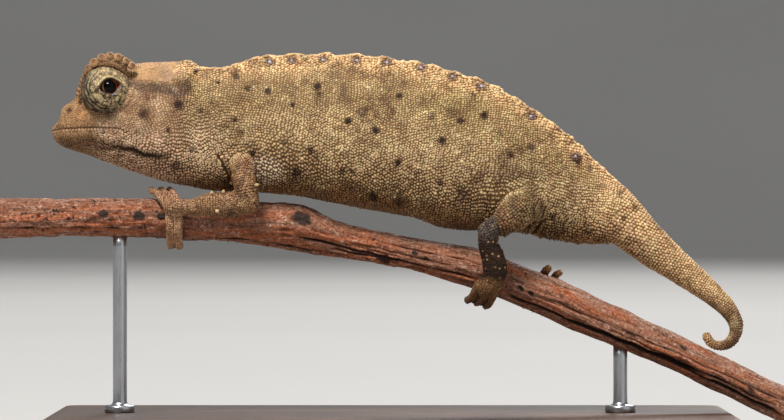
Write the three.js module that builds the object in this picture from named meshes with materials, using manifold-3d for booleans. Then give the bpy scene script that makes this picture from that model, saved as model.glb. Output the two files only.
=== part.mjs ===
// A pygmy leaf chameleon at life size, walking down a cut length of branch on a display stand.
// Millimetres, +Z up. The head points along -X and the left flank along -Y. The animal's middle
// plane is Y = 0, the table is Z = 0, and the origin lies on the table under the middle.
import * as THREE from "three";
import { LoftGeometry } from "three/addons/geometries/LoftGeometry.js";
import { RoundedBoxGeometry } from "three/addons/geometries/RoundedBoxGeometry.js";
import { mergeVertices } from "three/addons/utils/BufferGeometryUtils.js";
import Module from "manifold-3d";

const wasm = await Module();
wasm.setup();

// Driving dimensions
const gap = 0.1; // width of the thin cuts between the pieces
const bodySides = 16; // points round a section of the body
const bodyRings = 36; // sections from lip to tail root
const limbSides = 8; // points round a leg bone
const toeSides = 5;
const capReach = 0.75; // rounded end of a limb, as shares of its half thickness
const capHalf = 0.6;
const cutWidth = 12; // how wide the cuts across the body are

// Sections of head, neck and trunk: back point (x, z), belly point (x, z), half width, and how
// much narrower the section is above its middle than below it.
const bodyStations = [
  [-28.88, 27.39, -28.87, 26.95, 0.45, 0.0], // lip
  [-28.52, 27.78, -28.66, 26.33, 1.0, 0.0], // front of the mouth
  [-28.15, 28.2, -28.35, 25.99, 1.4, 0.0], // foot of the nose
  [-28.07, 28.94, -27.88, 25.71, 1.6, 0.0], // front of the nose
  [-27.71, 29.41, -27.29, 25.46, 1.75, 0.0], // top of the nose
  [-27.16, 29.71, -26.61, 25.2, 1.9, 0.0], // nostril
  [-26.52, 30.6, -25.67, 24.91, 2.1, 0.0], // front of the eye
  [-25.5, 32.09, -24.65, 24.57, 2.35, 0.0], // front of the brow
  [-24.14, 32.68, -23.29, 24.1, 2.7, 0.0], // middle of the eye
  [-22.44, 32.77, -21.76, 23.55, 3.0, 0.0], // temple
  [-20.57, 32.98, -20.06, 22.99, 3.1, 0.05], // casque
  [-18.36, 33.02, -17.94, 22.53, 2.85, 0.1], // end of the casque
  [-17.17, 33.11, -16.66, 22.31, 2.65, 0.15], // nape
  [-16.15, 32.55, -15.47, 22.1, 2.55, 0.2], // neck
  [-14.45, 32.51, -14.11, 22.02, 2.6, 0.22], // foot of the neck
  [-12.07, 33.12, -12.24, 21.97, 2.85, 0.25], // shoulder
  [-8.67, 33.48, -9.1, 21.72, 3.2, 0.28], // chest
  [-4.85, 33.53, -5.27, 21.12, 3.45, 0.28], // front of the belly
  [-0.6, 33.23, -1.45, 20.36, 3.55, 0.28], // middle of the trunk
  [3.23, 32.54, 1.96, 19.72, 3.45, 0.26], // back of the belly
  [5.61, 31.9, 4.08, 18.96, 3.3, 0.25], // lowest of the belly
  [7.91, 31.14, 6.21, 18.7, 3.1, 0.25], // loin
  [10.54, 29.7, 8.93, 18.62, 2.8, 0.25], // hip
  [13.01, 28.08, 11.39, 18.45, 2.45, 0.25], // pelvis
  [15.13, 26.38, 13.43, 17.94, 2.15, 0.22], // front of the vent
  [17.34, 24.44, 16.1, 17.55, 1.9, 0.2], // vent
  [19.72, 22.31, 18.55, 17.52, 1.7, 0.18], // root of the tail
];
const trunkCuts = [
  [-16.58, 33.2, -17.85, 22.2], // head from neck: a point on the back and one on the belly
  [-14.03, 32.9, -14.03, 21.9], // neck from trunk
  [-0.3, 33.5, -1.3, 20.1], // front of the trunk from its rear
];

// Tail: it runs straight from the hips, then curls down and forwards under itself.
const tailRun = [
  [18.19, 20.74],
  [19.75, 19.35],
  [22.66, 16.82],
  [25.41, 14.69],
  [27.28, 13.19],
  [28.35, 12.2],
];
const tailCurl = { x: 27.75, z: 10.12, radius: 1.31, from: 45, to: 247, steps: 8 };
const tailEasing = { opening: 0.4, closing: 0.22 }; // radius added at its start, taken off at its tip
const tailHalfRoot = 2.35; // half height at the hips
const tailHalfTip = 0.41;
const tailTaper = 1.3;
const tailRings = 24;
const tailSides = 10;
const tailCuts = [0.1, 0.4, 0.66]; // shares of the tail's length
const cutMargin = 0.25; // how far a cut runs past the surface, as a share of its height

// Dorsal crest: low scallops that stand closer together towards the tail.
const crest = { first: -10.9, spacing: 2.68, closing: 0.038, count: 13 };
const crestBead = { radius: 1.1, length: 0.95, width: 0.3, height: 0.36, shrink: 0.025, sunk: 0.1 };

// Eyes: turret domes that look sideways and a little back, under an arched, beaded brow.
const eye = { x: -24.14, y: 2.15, z: 30.58, radius: 2.12, dome: 1.5, lid: 0.8 };
const ball = { radius: 0.74, depth: 0.86 };
const eyeTurn = { back: 17, up: 10 }; // degrees
const brow = { from: -104, to: 47, beads: 11, half: 0.62, inner: 2.02, front: 2.4, crown: 3.19 };
const browBead = { overhang: 0.22, outward: 0.25, smallest: 0.24, largest: 0.38 };

// Mouth and jaw hinge, from the lip to the throat, as (x, z) in the side view.
const mouthLine = [
  [-29.6, 27.07],
  [-28.75, 27.12],
  [-28.05, 27.26],
  [-26.5, 27.37],
  [-23.6, 27.37],
  [-22.95, 27.27],
  [-22.36, 26.9],
  [-21.6, 25.9],
  [-20.4, 24.2],
  [-19.2, 21.6],
];

// Limbs: x, y, z and half thickness along each bone, drawn for the side that the limb is on.
const limbs = {
  front_left: {
    side: -1,
    names: ["upper_arm", "forearm", "hand"],
    upper: [
      [-12.6, 1.6, 24.82, 0.89],
      [-12.6, 2.9, 23.63, 0.92],
      [-12.3, 3.4, 22.19, 1.02],
      [-12.1, 3.4, 21.1, 0.97],
    ],
    lower: [
      [-12.1, 3.4, 21.0, 0.97],
      [-13.65, 3.15, 20.87, 1.07],
      [-15.6, 3.05, 20.83, 1.04],
      [-16.95, 2.8, 20.61, 0.77],
      [-17.9, 2.65, 20.74, 0.62],
    ],
    palm: [
      [-17.75, 2.6, 20.74, 0.62],
      [-18.6, 2.5, 20.74, 0.72],
    ],
    over: {
      toes: 3, from: -18.55, to: -19.65, spread: 0.78, bunch: 0.6,
      turn: [28, 82], lift: [0.1, 0.2], half: 0.42,
    },
    under: {
      toes: 2, from: -18.4, to: -18.44, spread: 0.76, bunch: 1,
      turn: [20, -98], lift: [0.1, 0.1], half: 0.43,
    },
  },
  front_right: {
    side: 1,
    names: ["upper_arm", "forearm", "hand"],
    upper: [
      [-12.67, 1.6, 24.82, 0.89],
      [-12.67, 2.9, 23.63, 0.92],
      [-12.41, 3.6, 22.19, 0.98],
      [-12.33, 3.7, 21.1, 0.89],
    ],
    lower: [
      [-12.33, 3.7, 21.0, 0.89],
      [-12.8, 3.35, 20.6, 0.86],
      [-13.4, 3.0, 20.3, 0.66],
    ],
    palm: [
      [-13.3, 2.85, 20.35, 0.62],
      [-13.9, 2.65, 20.2, 0.72],
    ],
    over: {
      toes: 3, from: -14.0, to: -14.3, spread: 0.76, bunch: 0.6,
      turn: [25, 74], lift: [0.1, 0.05], half: 0.4,
    },
    under: {
      toes: 2, from: -13.7, to: -13.6, spread: 0.76, bunch: 1,
      turn: [15, -40], lift: [0.1, 0.02], half: 0.4,
    },
  },
  hind_left: {
    side: -1,
    names: ["thigh", "shin", "foot"],
    upper: [
      [11.56, 1.6, 21.25, 1.45],
      [10.2, 2.9, 19.95, 1.5],
      [9.0, 3.6, 19.1, 1.2],
      [8.15, 3.8, 18.7, 0.87],
    ],
    lower: [
      [8.05, 3.8, 18.62, 0.87],
      [8.08, 3.65, 17.6, 0.89],
      [8.5, 3.3, 16.32, 1.02],
      [8.71, 3.1, 15.2, 1.04],
    ],
    palm: [
      [8.65, 3.0, 14.9, 0.98],
      [8.1, 2.7, 13.9, 1.02],
    ],
    over: {
      toes: 2, from: 8.7, to: 8.85, spread: 0.74, bunch: 0.8,
      turn: [-12, 128], lift: [0.1, 0.02], half: 0.38,
    },
    under: {
      toes: 3, from: 8.0, to: 7.2, spread: 0.76, bunch: 0.9,
      turn: [-30, -92], lift: [0.15, 0.62], half: 0.44,
    },
  },
  hind_right: {
    side: 1,
    names: ["thigh", "shin", "foot"],
    upper: [
      [11.56, 1.6, 21.25, 1.36],
      [9.86, 2.9, 20.06, 1.1],
      [8.2, 4.0, 18.5, 0.81],
    ],
    lower: [
      [8.1, 4.0, 18.4, 0.77],
      [8.42, 3.9, 17.34, 0.71],
      [9.1, 3.6, 15.73, 0.7],
      [10.1, 3.1, 14.3, 0.71],
    ],
    palm: [
      [10.3, 2.95, 14.1, 0.7],
      [12.4, 2.55, 13.2, 0.76],
    ],
    over: {
      toes: 2, from: 13.0, to: 13.8, spread: 0.96, bunch: 0.8,
      turn: [10, 80], lift: [0.1, 0.16], half: 0.41,
    },
    under: {
      toes: 3, from: 12.0, to: 12.0, spread: 0.76, bunch: 0.8,
      turn: [0, -46], lift: [0.1, 0.02], half: 0.38,
    },
  },
};

// Perch: x, z and radius of the branch, from its front end to its rear end.
const perchStations = [
  [-34.6, 19.59, 1.74],
  [-28.22, 19.76, 1.66],
  [-23.12, 19.8, 1.62],
  [-17.6, 19.64, 1.72],
  [-12.3, 19.3, 1.76],
  [-8.08, 18.96, 2.02],
  [-4.42, 17.94, 1.49],
  [0.68, 16.87, 1.32],
  [4.08, 16.07, 1.47],
  [7.31, 15.3, 1.7],
  [10.71, 14.03, 1.68],
  [14.28, 12.67, 1.78],
  [17.68, 11.05, 1.6],
  [22.78, 8.84, 1.5],
  [27.88, 6.46, 1.48],
  [34.6, 3.23, 1.48],
];
const perchRings = 21;
const perchSides = 10;

// Stand
const base = { length: 58, depth: 28, thickness: 3.2, edge: 0.5 };
const rods = { front: -23.12, rear: 19.4, radius: 0.6, collar: 1.3, collarHeight: 0.7 };

const lerp = THREE.MathUtils.lerp;
const radians = THREE.MathUtils.degToRad;

// A manifold solid from a closed three.js geometry.
function solid(geometry) {
  const bare = new THREE.BufferGeometry();
  bare.setAttribute("position", geometry.getAttribute("position"));
  bare.setIndex(geometry.getIndex());
  const merged = mergeVertices(bare, 1e-4);
  return new wasm.Manifold(
    new wasm.Mesh({
      numProp: 3,
      vertProperties: merged.getAttribute("position").array,
      triVerts: new Uint32Array(merged.getIndex().array),
    }),
  );
}

// The largest separate body of a solid, so that a cut leaves no crumbs.
function largest(body) {
  return body.decompose().sort((a, b) => b.volume() - a.volume())[0];
}

function joined(solids) {
  return solids.reduce((whole, piece) => whole.add(piece));
}

// A smooth curve through chosen numbers of each row, as three.js vectors.
function planeSpline(rows, first, second) {
  return new THREE.SplineCurve(rows.map((row) => new THREE.Vector2(row[first], row[second])));
}

// One egg-shaped ring: an ellipse on the vectors "tall" and "wide", narrowed above by "ridge".
function eggRing(centre, tall, wide, ridge, sides) {
  return Array.from({ length: sides }, (_, i) => {
    const turn = (2 * Math.PI * i) / sides;
    return centre
      .clone()
      .addScaledVector(tall, Math.cos(turn))
      .addScaledVector(wide, Math.sin(turn) * (1 - ridge * Math.cos(turn)));
  });
}

function loft(rings) {
  return solid(new LoftGeometry(rings, { capStart: true, capEnd: true }));
}

// Head, neck and trunk as one loft. "grow" moves its surface out, for cutting its neighbours.
function bodyLoft(grow) {
  const back = planeSpline(bodyStations, 0, 1);
  const belly = planeSpline(bodyStations, 2, 3);
  const girth = planeSpline(bodyStations, 4, 5);
  const rings = Array.from({ length: bodyRings }, (_, i) => {
    const share = i / (bodyRings - 1);
    const top = back.getPoint(share);
    const low = belly.getPoint(share);
    const [width, ridge] = girth.getPoint(share).toArray();
    const centre = new THREE.Vector3((top.x + low.x) / 2, 0, (top.y + low.y) / 2);
    const tall = new THREE.Vector3((top.x - low.x) / 2, 0, (top.y - low.y) / 2);
    tall.setLength(tall.length() + grow);
    return eggRing(centre, tall, new THREE.Vector3(0, -width - grow, 0), ridge, bodySides);
  });
  return loft(rings);
}

// A round tube through points of x, y, z and half thickness, with rounded ends.
function tube(points, grow = 0, sides = limbSides, density = 1.6) {
  const path = new THREE.CatmullRomCurve3(points.map(([x, y, z]) => new THREE.Vector3(x, y, z)));
  const rings = Math.round(points.length * density);
  const frames = path.computeFrenetFrames(rings - 1);
  const halfs = planeSpline(points.map((point, i) => [i, point[3]]), 0, 1);
  const row = (share, along, scale, frame) => {
    const half = (halfs.getPoint(share).y + grow) * scale;
    const centre = path.getPointAt(share).addScaledVector(frames.tangents[frame], along);
    const tall = frames.normals[frame].clone().multiplyScalar(half);
    const wide = frames.binormals[frame].clone().multiplyScalar(half);
    return eggRing(centre, tall, wide, 0, sides);
  };
  const first = points[0][3] + grow;
  const last = points.at(-1)[3] + grow;
  const middle = Array.from({ length: rings }, (_, i) => row(i / (rings - 1), 0, 1, i));
  return loft([
    row(0, -first * capReach, capHalf, 0),
    ...middle,
    row(1, last * capReach, capHalf, rings - 1),
  ]);
}

// The tail's middle line: the straight run, then an arc whose radius eases out of the run.
function tailPath() {
  const points = tailRun.map(([x, z]) => new THREE.Vector3(x, 0, z));
  for (let i = 0; i <= tailCurl.steps; i++) {
    const share = i / tailCurl.steps;
    const turn = radians(lerp(tailCurl.from, tailCurl.to, share));
    const easing = tailEasing.opening * (1 - share) ** 3 - tailEasing.closing * share ** 3;
    const radius = tailCurl.radius + easing;
    points.push(
      new THREE.Vector3(tailCurl.x + radius * Math.sin(turn), 0, tailCurl.z + radius * Math.cos(turn)),
    );
  }
  return new THREE.CatmullRomCurve3(points, false, "centripetal");
}

function tailHalf(share) {
  return tailHalfTip + (tailHalfRoot - tailHalfTip) * (1 - share) ** tailTaper;
}

// One ring of the tail: a tall oval at the root that turns round towards the tip.
function tailRing(path, share, scale, along) {
  const tangent = path.getTangentAt(share);
  const outward = new THREE.Vector3(-tangent.z, 0, tangent.x);
  const half = tailHalf(share) * scale;
  const centre = path.getPointAt(share).addScaledVector(tangent, along);
  const wide = new THREE.Vector3(0, -half * lerp(0.8, 0.95, share), 0);
  return eggRing(centre, outward.multiplyScalar(half), wide, lerp(0.15, 0.05, share), tailSides);
}

function tailLoft(path) {
  const rings = Array.from({ length: tailRings }, (_, i) => tailRing(path, i / (tailRings - 1), 1, 0));
  rings.push(tailRing(path, 1, 0.8, tailHalfTip * 0.5));
  rings.push(tailRing(path, 1, 0.35, tailHalfTip * 0.9));
  return loft(rings);
}

// A thin slab across the body, through a point on the back and one on the belly.
function slab([topX, topZ, lowX, lowZ]) {
  const tall = new THREE.Vector3(topX - lowX, 0, topZ - lowZ);
  const geometry = new THREE.BoxGeometry(gap, cutWidth, tall.length() * (1 + 2 * cutMargin));
  const lean = Math.atan2(tall.x, tall.z);
  geometry.rotateY(lean);
  geometry.translate((topX + lowX) / 2, 0, (topZ + lowZ) / 2);
  return solid(geometry);
}

function tailSlab(path, share) {
  const tangent = path.getTangentAt(share);
  const centre = path.getPointAt(share);
  const half = tailHalf(share);
  return slab([
    centre.x - tangent.z * half,
    centre.z + tangent.x * half,
    centre.x + tangent.z * half,
    centre.z - tangent.x * half,
  ]);
}

// The cut between the jaws: a thin band along the mouth line, right through the head.
function mouthCut() {
  const line = mouthLine.map(([x, z]) => new THREE.Vector2(x, z));
  const lower = line.map((point) => new THREE.Vector2(point.x - gap * 0.8, point.y - gap)).reverse();
  const shape = new THREE.Shape([...line, ...lower]);
  const geometry = new THREE.ExtrudeGeometry(shape, { depth: cutWidth, bevelEnabled: false });
  geometry.rotateX(Math.PI / 2);
  geometry.translate(0, cutWidth / 2, 0);
  return solid(geometry);
}

// Crest: flattened beads sunk in the back, placed by their x along the back line.
function crestBeads() {
  const back = planeSpline(bodyStations, 0, 1).getPoints(400);
  return Array.from({ length: crest.count }, (_, i) => {
    const x = crest.first + crest.spacing * i - (crest.spacing * crest.closing * i * (i - 1)) / 2;
    const spot = back.findIndex((point) => point.x > x);
    const slope = back[spot + 2].clone().sub(back[spot - 2]);
    const bead = new THREE.OctahedronGeometry(crestBead.radius);
    const length = crestBead.length * (1 - crestBead.shrink * i);
    bead.scale(length, crestBead.width, crestBead.height);
    bead.rotateY(-Math.atan2(slope.y, slope.x));
    bead.translate(back[spot].x, 0, back[spot].y - crestBead.sunk);
    return solid(bead);
  });
}

// How far the brow's rim stands from the middle of the eye, at an angle from straight up.
function browReach(degrees) {
  const crown = THREE.MathUtils.smoothstep(degrees, -57, 12);
  const nose = 1 - THREE.MathUtils.smoothstep(degrees, -104, -78);
  return brow.front + (brow.crown - brow.front) * crown + 0.25 * nose;
}

// How far the brow's rim stands out from the middle plane.
function browSpread(degrees) {
  return lerp(1.5, 2.3, THREE.MathUtils.smoothstep(degrees, -104, 0));
}

function browPoint(degrees, reach) {
  const turn = radians(degrees);
  return new THREE.Vector3(eye.x + reach * Math.sin(turn), 0, eye.z + reach * Math.cos(turn));
}

// The brow is an arched shelf with a bead at each step along its rim.
function browArch(side) {
  const steps = 9;
  const rings = Array.from({ length: steps + 1 }, (_, i) => {
    const degrees = lerp(brow.from - 4, brow.to + 8, i / steps);
    const reach = browReach(degrees) - browBead.overhang;
    const half = Math.max((reach - brow.inner) / 2, 0.16) * (i === 0 || i === steps ? 0.6 : 1);
    const centre = browPoint(degrees, reach - half);
    centre.y = side * browSpread(degrees);
    const tall = browPoint(degrees, 1).sub(browPoint(degrees, 0)).multiplyScalar(half + 0.1);
    return eggRing(centre, tall, new THREE.Vector3(0, -brow.half, 0), 0, 6);
  });
  const beads = Array.from({ length: brow.beads }, (_, i) => {
    const degrees = lerp(brow.from, brow.to, i / (brow.beads - 1));
    const grown = THREE.MathUtils.smoothstep(degrees, -60, -20);
    const size = lerp(browBead.smallest, browBead.largest, grown);
    const centre = browPoint(degrees, browReach(degrees) - size);
    const bead = new THREE.OctahedronGeometry(size * 1.2);
    bead.rotateY(radians(degrees));
    bead.translate(centre.x, side * (browSpread(degrees) + browBead.outward), centre.z);
    return solid(bead);
  });
  return joined([loft(rings), ...beads]);
}

// Puts a shape turned about +Y into the head, so that its axis is the line of sight.
function setInHead(geometry, side) {
  if (side < 0) geometry.rotateZ(Math.PI);
  geometry.rotateX(side * radians(eyeTurn.up));
  geometry.rotateZ(-side * radians(eyeTurn.back));
  geometry.translate(eye.x, side * eye.y, eye.z);
  return solid(geometry);
}

// Turret: a dome turned about the line of sight, with a round pit for the ball.
function turret(side, grow, pit) {
  const rim = Array.from({ length: 6 }, (_, i) => {
    const rise = radians(lerp(-32, 67, i / 5));
    return new THREE.Vector2((eye.radius + grow) * Math.cos(rise), (eye.dome + grow) * Math.sin(rise));
  });
  const foot = [new THREE.Vector2(0, -1.0 - grow)];
  const hole = [
    new THREE.Vector2(eye.lid - 0.03, 1.3),
    new THREE.Vector2(eye.lid, 0.85),
    new THREE.Vector2(eye.lid * 0.7, 0.12),
    new THREE.Vector2(0, 0.02),
  ];
  const profile = [...foot, ...rim, ...(pit ? hole : [new THREE.Vector2(0, eye.dome)])];
  return setInHead(new THREE.LatheGeometry(profile, 12), side);
}

function eyeball(side) {
  const geometry = new THREE.SphereGeometry(ball.radius, 9, 6);
  geometry.translate(0, ball.depth, 0);
  return setInHead(geometry, side);
}

// Radius and middle of the perch at x.
const perchMiddle = planeSpline(perchStations, 0, 1).getPoints(300);
const perchGirth = planeSpline(perchStations, 0, 2).getPoints(300);

function perchAt(x) {
  const spot = Math.max(perchMiddle.findIndex((point) => point.x >= x), 1);
  const share = (x - perchMiddle[spot - 1].x) / (perchMiddle[spot].x - perchMiddle[spot - 1].x);
  const z = lerp(perchMiddle[spot - 1].y, perchMiddle[spot].y, share);
  const step = perchMiddle[spot].clone().sub(perchMiddle[spot - 1]);
  const radius = lerp(perchGirth[spot - 1].y, perchGirth[spot].y, share);
  return { z, radius, stretch: Math.hypot(1, step.y / step.x) };
}

// The perch's rings stand upright, so that both ends are cut square to the table.
function perchLoft(grow) {
  const half = -perchStations[0][0] + grow;
  const rings = Array.from({ length: perchRings }, (_, i) => {
    const x = lerp(-half, half, i / (perchRings - 1));
    const inside = THREE.MathUtils.clamp(x, perchStations[0][0] + 0.01, -perchStations[0][0] - 0.01);
    const { z, radius, stretch } = perchAt(inside);
    return Array.from({ length: perchSides }, (_, j) => {
      const turn = (2 * Math.PI * j) / perchSides;
      const bark = 1 + 0.025 * Math.sin(3 * turn + 0.35 * x) + 0.02 * Math.sin(5 * turn - 0.6 * x);
      const reach = radius * bark + grow;
      return new THREE.Vector3(x, -reach * Math.sin(turn), z + reach * stretch * Math.cos(turn));
    });
  });
  return loft(rings);
}

// A toe that clasps the perch: it turns about the perch from one angle to another while it runs
// along it. Angles are 0 at the side of the perch and 90 on top.
function toe({ from, to, spread, bunch, turn, lift, half }, side, index, count, grow) {
  const steps = Math.max(3, Math.round(Math.abs(turn[1] - turn[0]) / 34));
  const offset = (index - (count - 1) / 2) * spread;
  const points = Array.from({ length: steps + 1 }, (_, i) => {
    const share = i / steps;
    const x = lerp(from + offset * bunch, to + offset, share);
    const { z, radius } = perchAt(x);
    const angle = radians(lerp(turn[0], turn[1], share));
    const reach = radius * 1.05 + half + lerp(lift[0], lift[1], share);
    const taper = lerp(1, 0.88, share);
    return [x, side * reach * Math.cos(angle), z + reach * Math.sin(angle), half * taper];
  });
  return tube(points, grow, toeSides, 1);
}

function foot({ side, palm, over, under }, grow) {
  const toes = [over, under].flatMap((bundle) =>
    Array.from({ length: bundle.toes }, (_, i) => toe(bundle, side, i, bundle.toes, grow)),
  );
  return joined([tube(onSide(palm, side), grow), ...toes]);
}

function onSide(points, side) {
  return points.map(([x, y, z, half]) => [x, side * y, z, half]);
}

// Upper bone, lower bone and foot of one limb, each cut clear of the next one down.
function limbSolids(limb, bodyClear, perchClear) {
  const upper = tube(onSide(limb.upper, limb.side));
  const lower = tube(onSide(limb.lower, limb.side));
  const lowerClear = tube(onSide(limb.lower, limb.side), gap);
  const footClear = foot(limb, gap);
  return [
    largest(upper.subtract(bodyClear).subtract(lowerClear).subtract(perchClear)),
    largest(lower.subtract(bodyClear).subtract(footClear).subtract(perchClear)),
    largest(foot(limb, 0).subtract(perchClear)),
  ];
}

const group = new THREE.Group();

const colours = {
  skull: ["#c9a27c", 0.8],
  jaw: ["#c4a084", 0.8],
  turret: ["#8f8568", 0.75],
  ball: ["#1c1410", 0.12],
  neck: ["#b3946a", 0.8],
  trunk: ["#b39a68", 0.8],
  tail: ["#bfa074", 0.8],
  arm: ["#a5815d", 0.8],
  leg: ["#7a5f43", 0.85],
  foot: ["#b0946c", 0.8],
  perch: ["#a8714f", 0.85],
  wood: ["#3d2a1e", 0.5],
  steel: ["#b9bcc0", 0.3, 1],
};

function place(name, geometry, [color, roughness, metalness = 0]) {
  const material = new THREE.MeshStandardMaterial({ color, roughness, metalness });
  const mesh = new THREE.Mesh(geometry, material);
  mesh.name = name;
  group.add(mesh);
  return mesh;
}

function placeSolid(name, body, colour) {
  const { numProp, vertProperties, triVerts } = body.getMesh();
  const geometry = new THREE.BufferGeometry();
  geometry.setAttribute("position", new THREE.BufferAttribute(vertProperties, numProp));
  geometry.setIndex(new THREE.BufferAttribute(triVerts, 1));
  geometry.computeVertexNormals();
  return place(name, geometry, colour);
}

// Body, parted into jaw, head, neck, trunk and tail
const spine = tailPath();
const sockets = joined([turret(-1, gap, false), turret(1, gap, false)]);
const cuts = joined([
  ...trunkCuts.map(slab),
  ...tailCuts.map((share) => tailSlab(spine, share)),
  mouthCut(),
]);
const wholeBody = joined([bodyLoft(0), tailLoft(spine), browArch(-1), browArch(1), ...crestBeads()]);
const bodyParts = wholeBody
  .subtract(sockets)
  .subtract(cuts)
  .decompose()
  .filter((part) => part.volume() > 0.05)
  .sort((a, b) => a.boundingBox().max[0] - b.boundingBox().max[0]);
const bodyNames = [
  ["lower_jaw", colours.jaw],
  ["head_upper", colours.skull],
  ["neck", colours.neck],
  ["trunk_front", colours.trunk],
  ["trunk_rear", colours.trunk],
  ["tail_base", colours.tail],
  ["tail_middle", colours.tail],
  ["tail_tip", colours.tail],
];
if (bodyParts.length !== bodyNames.length) throw new Error(`${bodyParts.length} parts of the body`);
bodyNames.forEach(([name, colour], i) => placeSolid(name, bodyParts[i], colour));

// Eyes
for (const [side, word] of [[-1, "left"], [1, "right"]]) {
  placeSolid(`eye_turret_${word}`, turret(side, 0, true), colours.turret);
  placeSolid(`eyeball_${word}`, eyeball(side), colours.ball);
}

// Limbs
const bodyClear = bodyLoft(gap);
const perchClear = perchLoft(gap);
for (const limb of Object.values(limbs)) {
  const word = limb.side < 0 ? "left" : "right";
  const armShades = [colours.arm, colours.arm, colours.foot];
  const legShades = [colours.trunk, colours.leg, colours.foot];
  const shades = limb.names[0] === "thigh" ? legShades : armShades;
  limbSolids(limb, bodyClear, perchClear).forEach((body, i) => {
    placeSolid(`${limb.names[i]}_${word}`, body, shades[i]);
  });
}

// Perch and stand
function standRod(x) {
  const foot = base.thickness + gap / 2;
  const height = perchAt(x).z - foot;
  const shaft = new THREE.CylinderGeometry(rods.radius, rods.radius, height, 12);
  shaft.rotateX(Math.PI / 2);
  shaft.translate(x, 0, foot + height / 2);
  const collar = new THREE.CylinderGeometry(rods.collar * 0.8, rods.collar, rods.collarHeight, 12);
  collar.rotateX(Math.PI / 2);
  collar.translate(x, 0, foot + rods.collarHeight / 2);
  return largest(solid(shaft).add(solid(collar)).subtract(perchClear));
}

placeSolid("perch_branch", perchLoft(0), colours.perch);
placeSolid("stand_rod_front", standRod(rods.front), colours.steel);
placeSolid("stand_rod_rear", standRod(rods.rear), colours.steel);
const plinth = new RoundedBoxGeometry(base.length, base.depth, base.thickness, 1, base.edge);
place("stand_base", plinth, colours.wood).position.z = base.thickness / 2;

export default group;
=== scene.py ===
import bpy
import numpy as np
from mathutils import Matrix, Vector
from mathutils.bvhtree import BVHTree
from mathutils.kdtree import KDTree


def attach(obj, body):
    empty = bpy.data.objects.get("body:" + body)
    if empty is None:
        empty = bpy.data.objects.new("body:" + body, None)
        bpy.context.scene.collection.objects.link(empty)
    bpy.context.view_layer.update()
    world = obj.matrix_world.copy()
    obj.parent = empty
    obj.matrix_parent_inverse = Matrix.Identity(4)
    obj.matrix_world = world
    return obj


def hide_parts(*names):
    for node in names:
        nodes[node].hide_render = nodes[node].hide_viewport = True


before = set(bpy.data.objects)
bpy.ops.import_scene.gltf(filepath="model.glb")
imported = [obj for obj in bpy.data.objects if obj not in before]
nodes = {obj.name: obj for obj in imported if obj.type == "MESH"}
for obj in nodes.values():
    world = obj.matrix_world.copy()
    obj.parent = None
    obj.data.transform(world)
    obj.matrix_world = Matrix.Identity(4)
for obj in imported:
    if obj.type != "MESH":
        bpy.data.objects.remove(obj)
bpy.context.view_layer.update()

# A pygmy leaf chameleon on a cut branch, over a plain stand. Shapes are worked out in
# millimetres in the CAD frame (head along -X, left flank along -Y) and written in metres.
metre = 0.001
chance = np.random.default_rng(41)


def easeStep(x, low, high):
    # 0 below low and 1 above high; between them 3 t squared minus 2 t cubed
    t = np.clip((x - low) / (high - low), 0, 1)
    return t * t * (3 - 2 * t)


def easeDown(x, low, high):
    # 1 below low and 0 above high: one minus the eased step
    return 1 - easeStep(x, low, high)


def bell(x, width):
    # 1 at zero, falling off as e to the power of minus (x / width) squared
    return np.exp(-((x / width) ** 2))


def lerp(a, b, share):
    # a, and the given share of the way from there to b
    return a + (b - a) * share


def unit(vectors):
    # Each vector divided by its own length
    return vectors / np.maximum(np.linalg.norm(vectors, axis=-1, keepdims=True), 1e-9)


def circle(count):
    # Angles in even steps once round, without the full turn itself
    return np.linspace(0, 2 * np.pi, count, endpoint=False)


def wrapped(angle):
    # The same direction as an angle between minus and plus half a turn
    return np.angle(np.exp(1j * angle))


def lengthAlong(points):
    # The length of a line from its first point to each point: the sum of its steps so far
    return np.append(0, np.cumsum(np.linalg.norm(np.diff(points, axis=0), axis=1)))


def tint(red, green, blue):
    # Screen colour 0 to 255 as linear light, by the usual screen curve
    shade = np.array([red, green, blue], float) / 255
    return np.where(shade <= 0.04045, shade / 12.92, ((shade + 0.055) / 1.055) ** 2.4)


def cloud(points, size, seed):
    # Smooth noise from -1 to 1: random values on a lattice of the given cell size, eased between
    cell = np.asarray(points, float) / size + 401.7 + 13.1 * seed
    corner = np.floor(cell).astype(np.int64)
    part = cell - corner
    part = part * part * (3 - 2 * part)
    total = np.zeros(cell.shape[:-1])
    for step in np.ndindex(2, 2, 2):
        at = corner + step
        key = (at[..., 0] * 73856093) ^ (at[..., 1] * 19349663) ^ (at[..., 2] * 83492791) ^ (seed * 7919)
        key = (key * 1103515245 + 12345) & 0x7FFFFFFF
        value = ((key >> 8) & 0xFFFF) / 32767.5 - 1
        weight = np.prod(np.where(step, part, 1 - part), axis=-1)
        total += value * weight
    return total


def hermite(a, b, leave, arrive, t):
    # Cubic from a (t = 0) to b (t = 1) that leaves and arrives with the given slopes
    return (
        (2 * t**3 - 3 * t**2 + 1) * a
        + (t**3 - 2 * t**2 + t) * leave
        + (3 * t**2 - 2 * t**3) * b
        + (t**3 - t**2) * arrive
    )


def splineAt(rows, share):
    # Even Catmull-Rom spline through the rows; share runs from 0 to 1 over all of them
    rows = np.asarray(rows, float)
    share = np.asarray(share, float)
    last = len(rows) - 1
    place = np.clip(share, 0, 1) * last
    i = np.minimum(place.astype(int), last - 1)
    t = (place - i)[..., None]
    before, a, b, after = rows[np.maximum(i - 1, 0)], rows[i], rows[i + 1], rows[np.minimum(i + 2, last)]
    return hermite(a, b, (b - before) / 2, (after - a) / 2, t)


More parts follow.
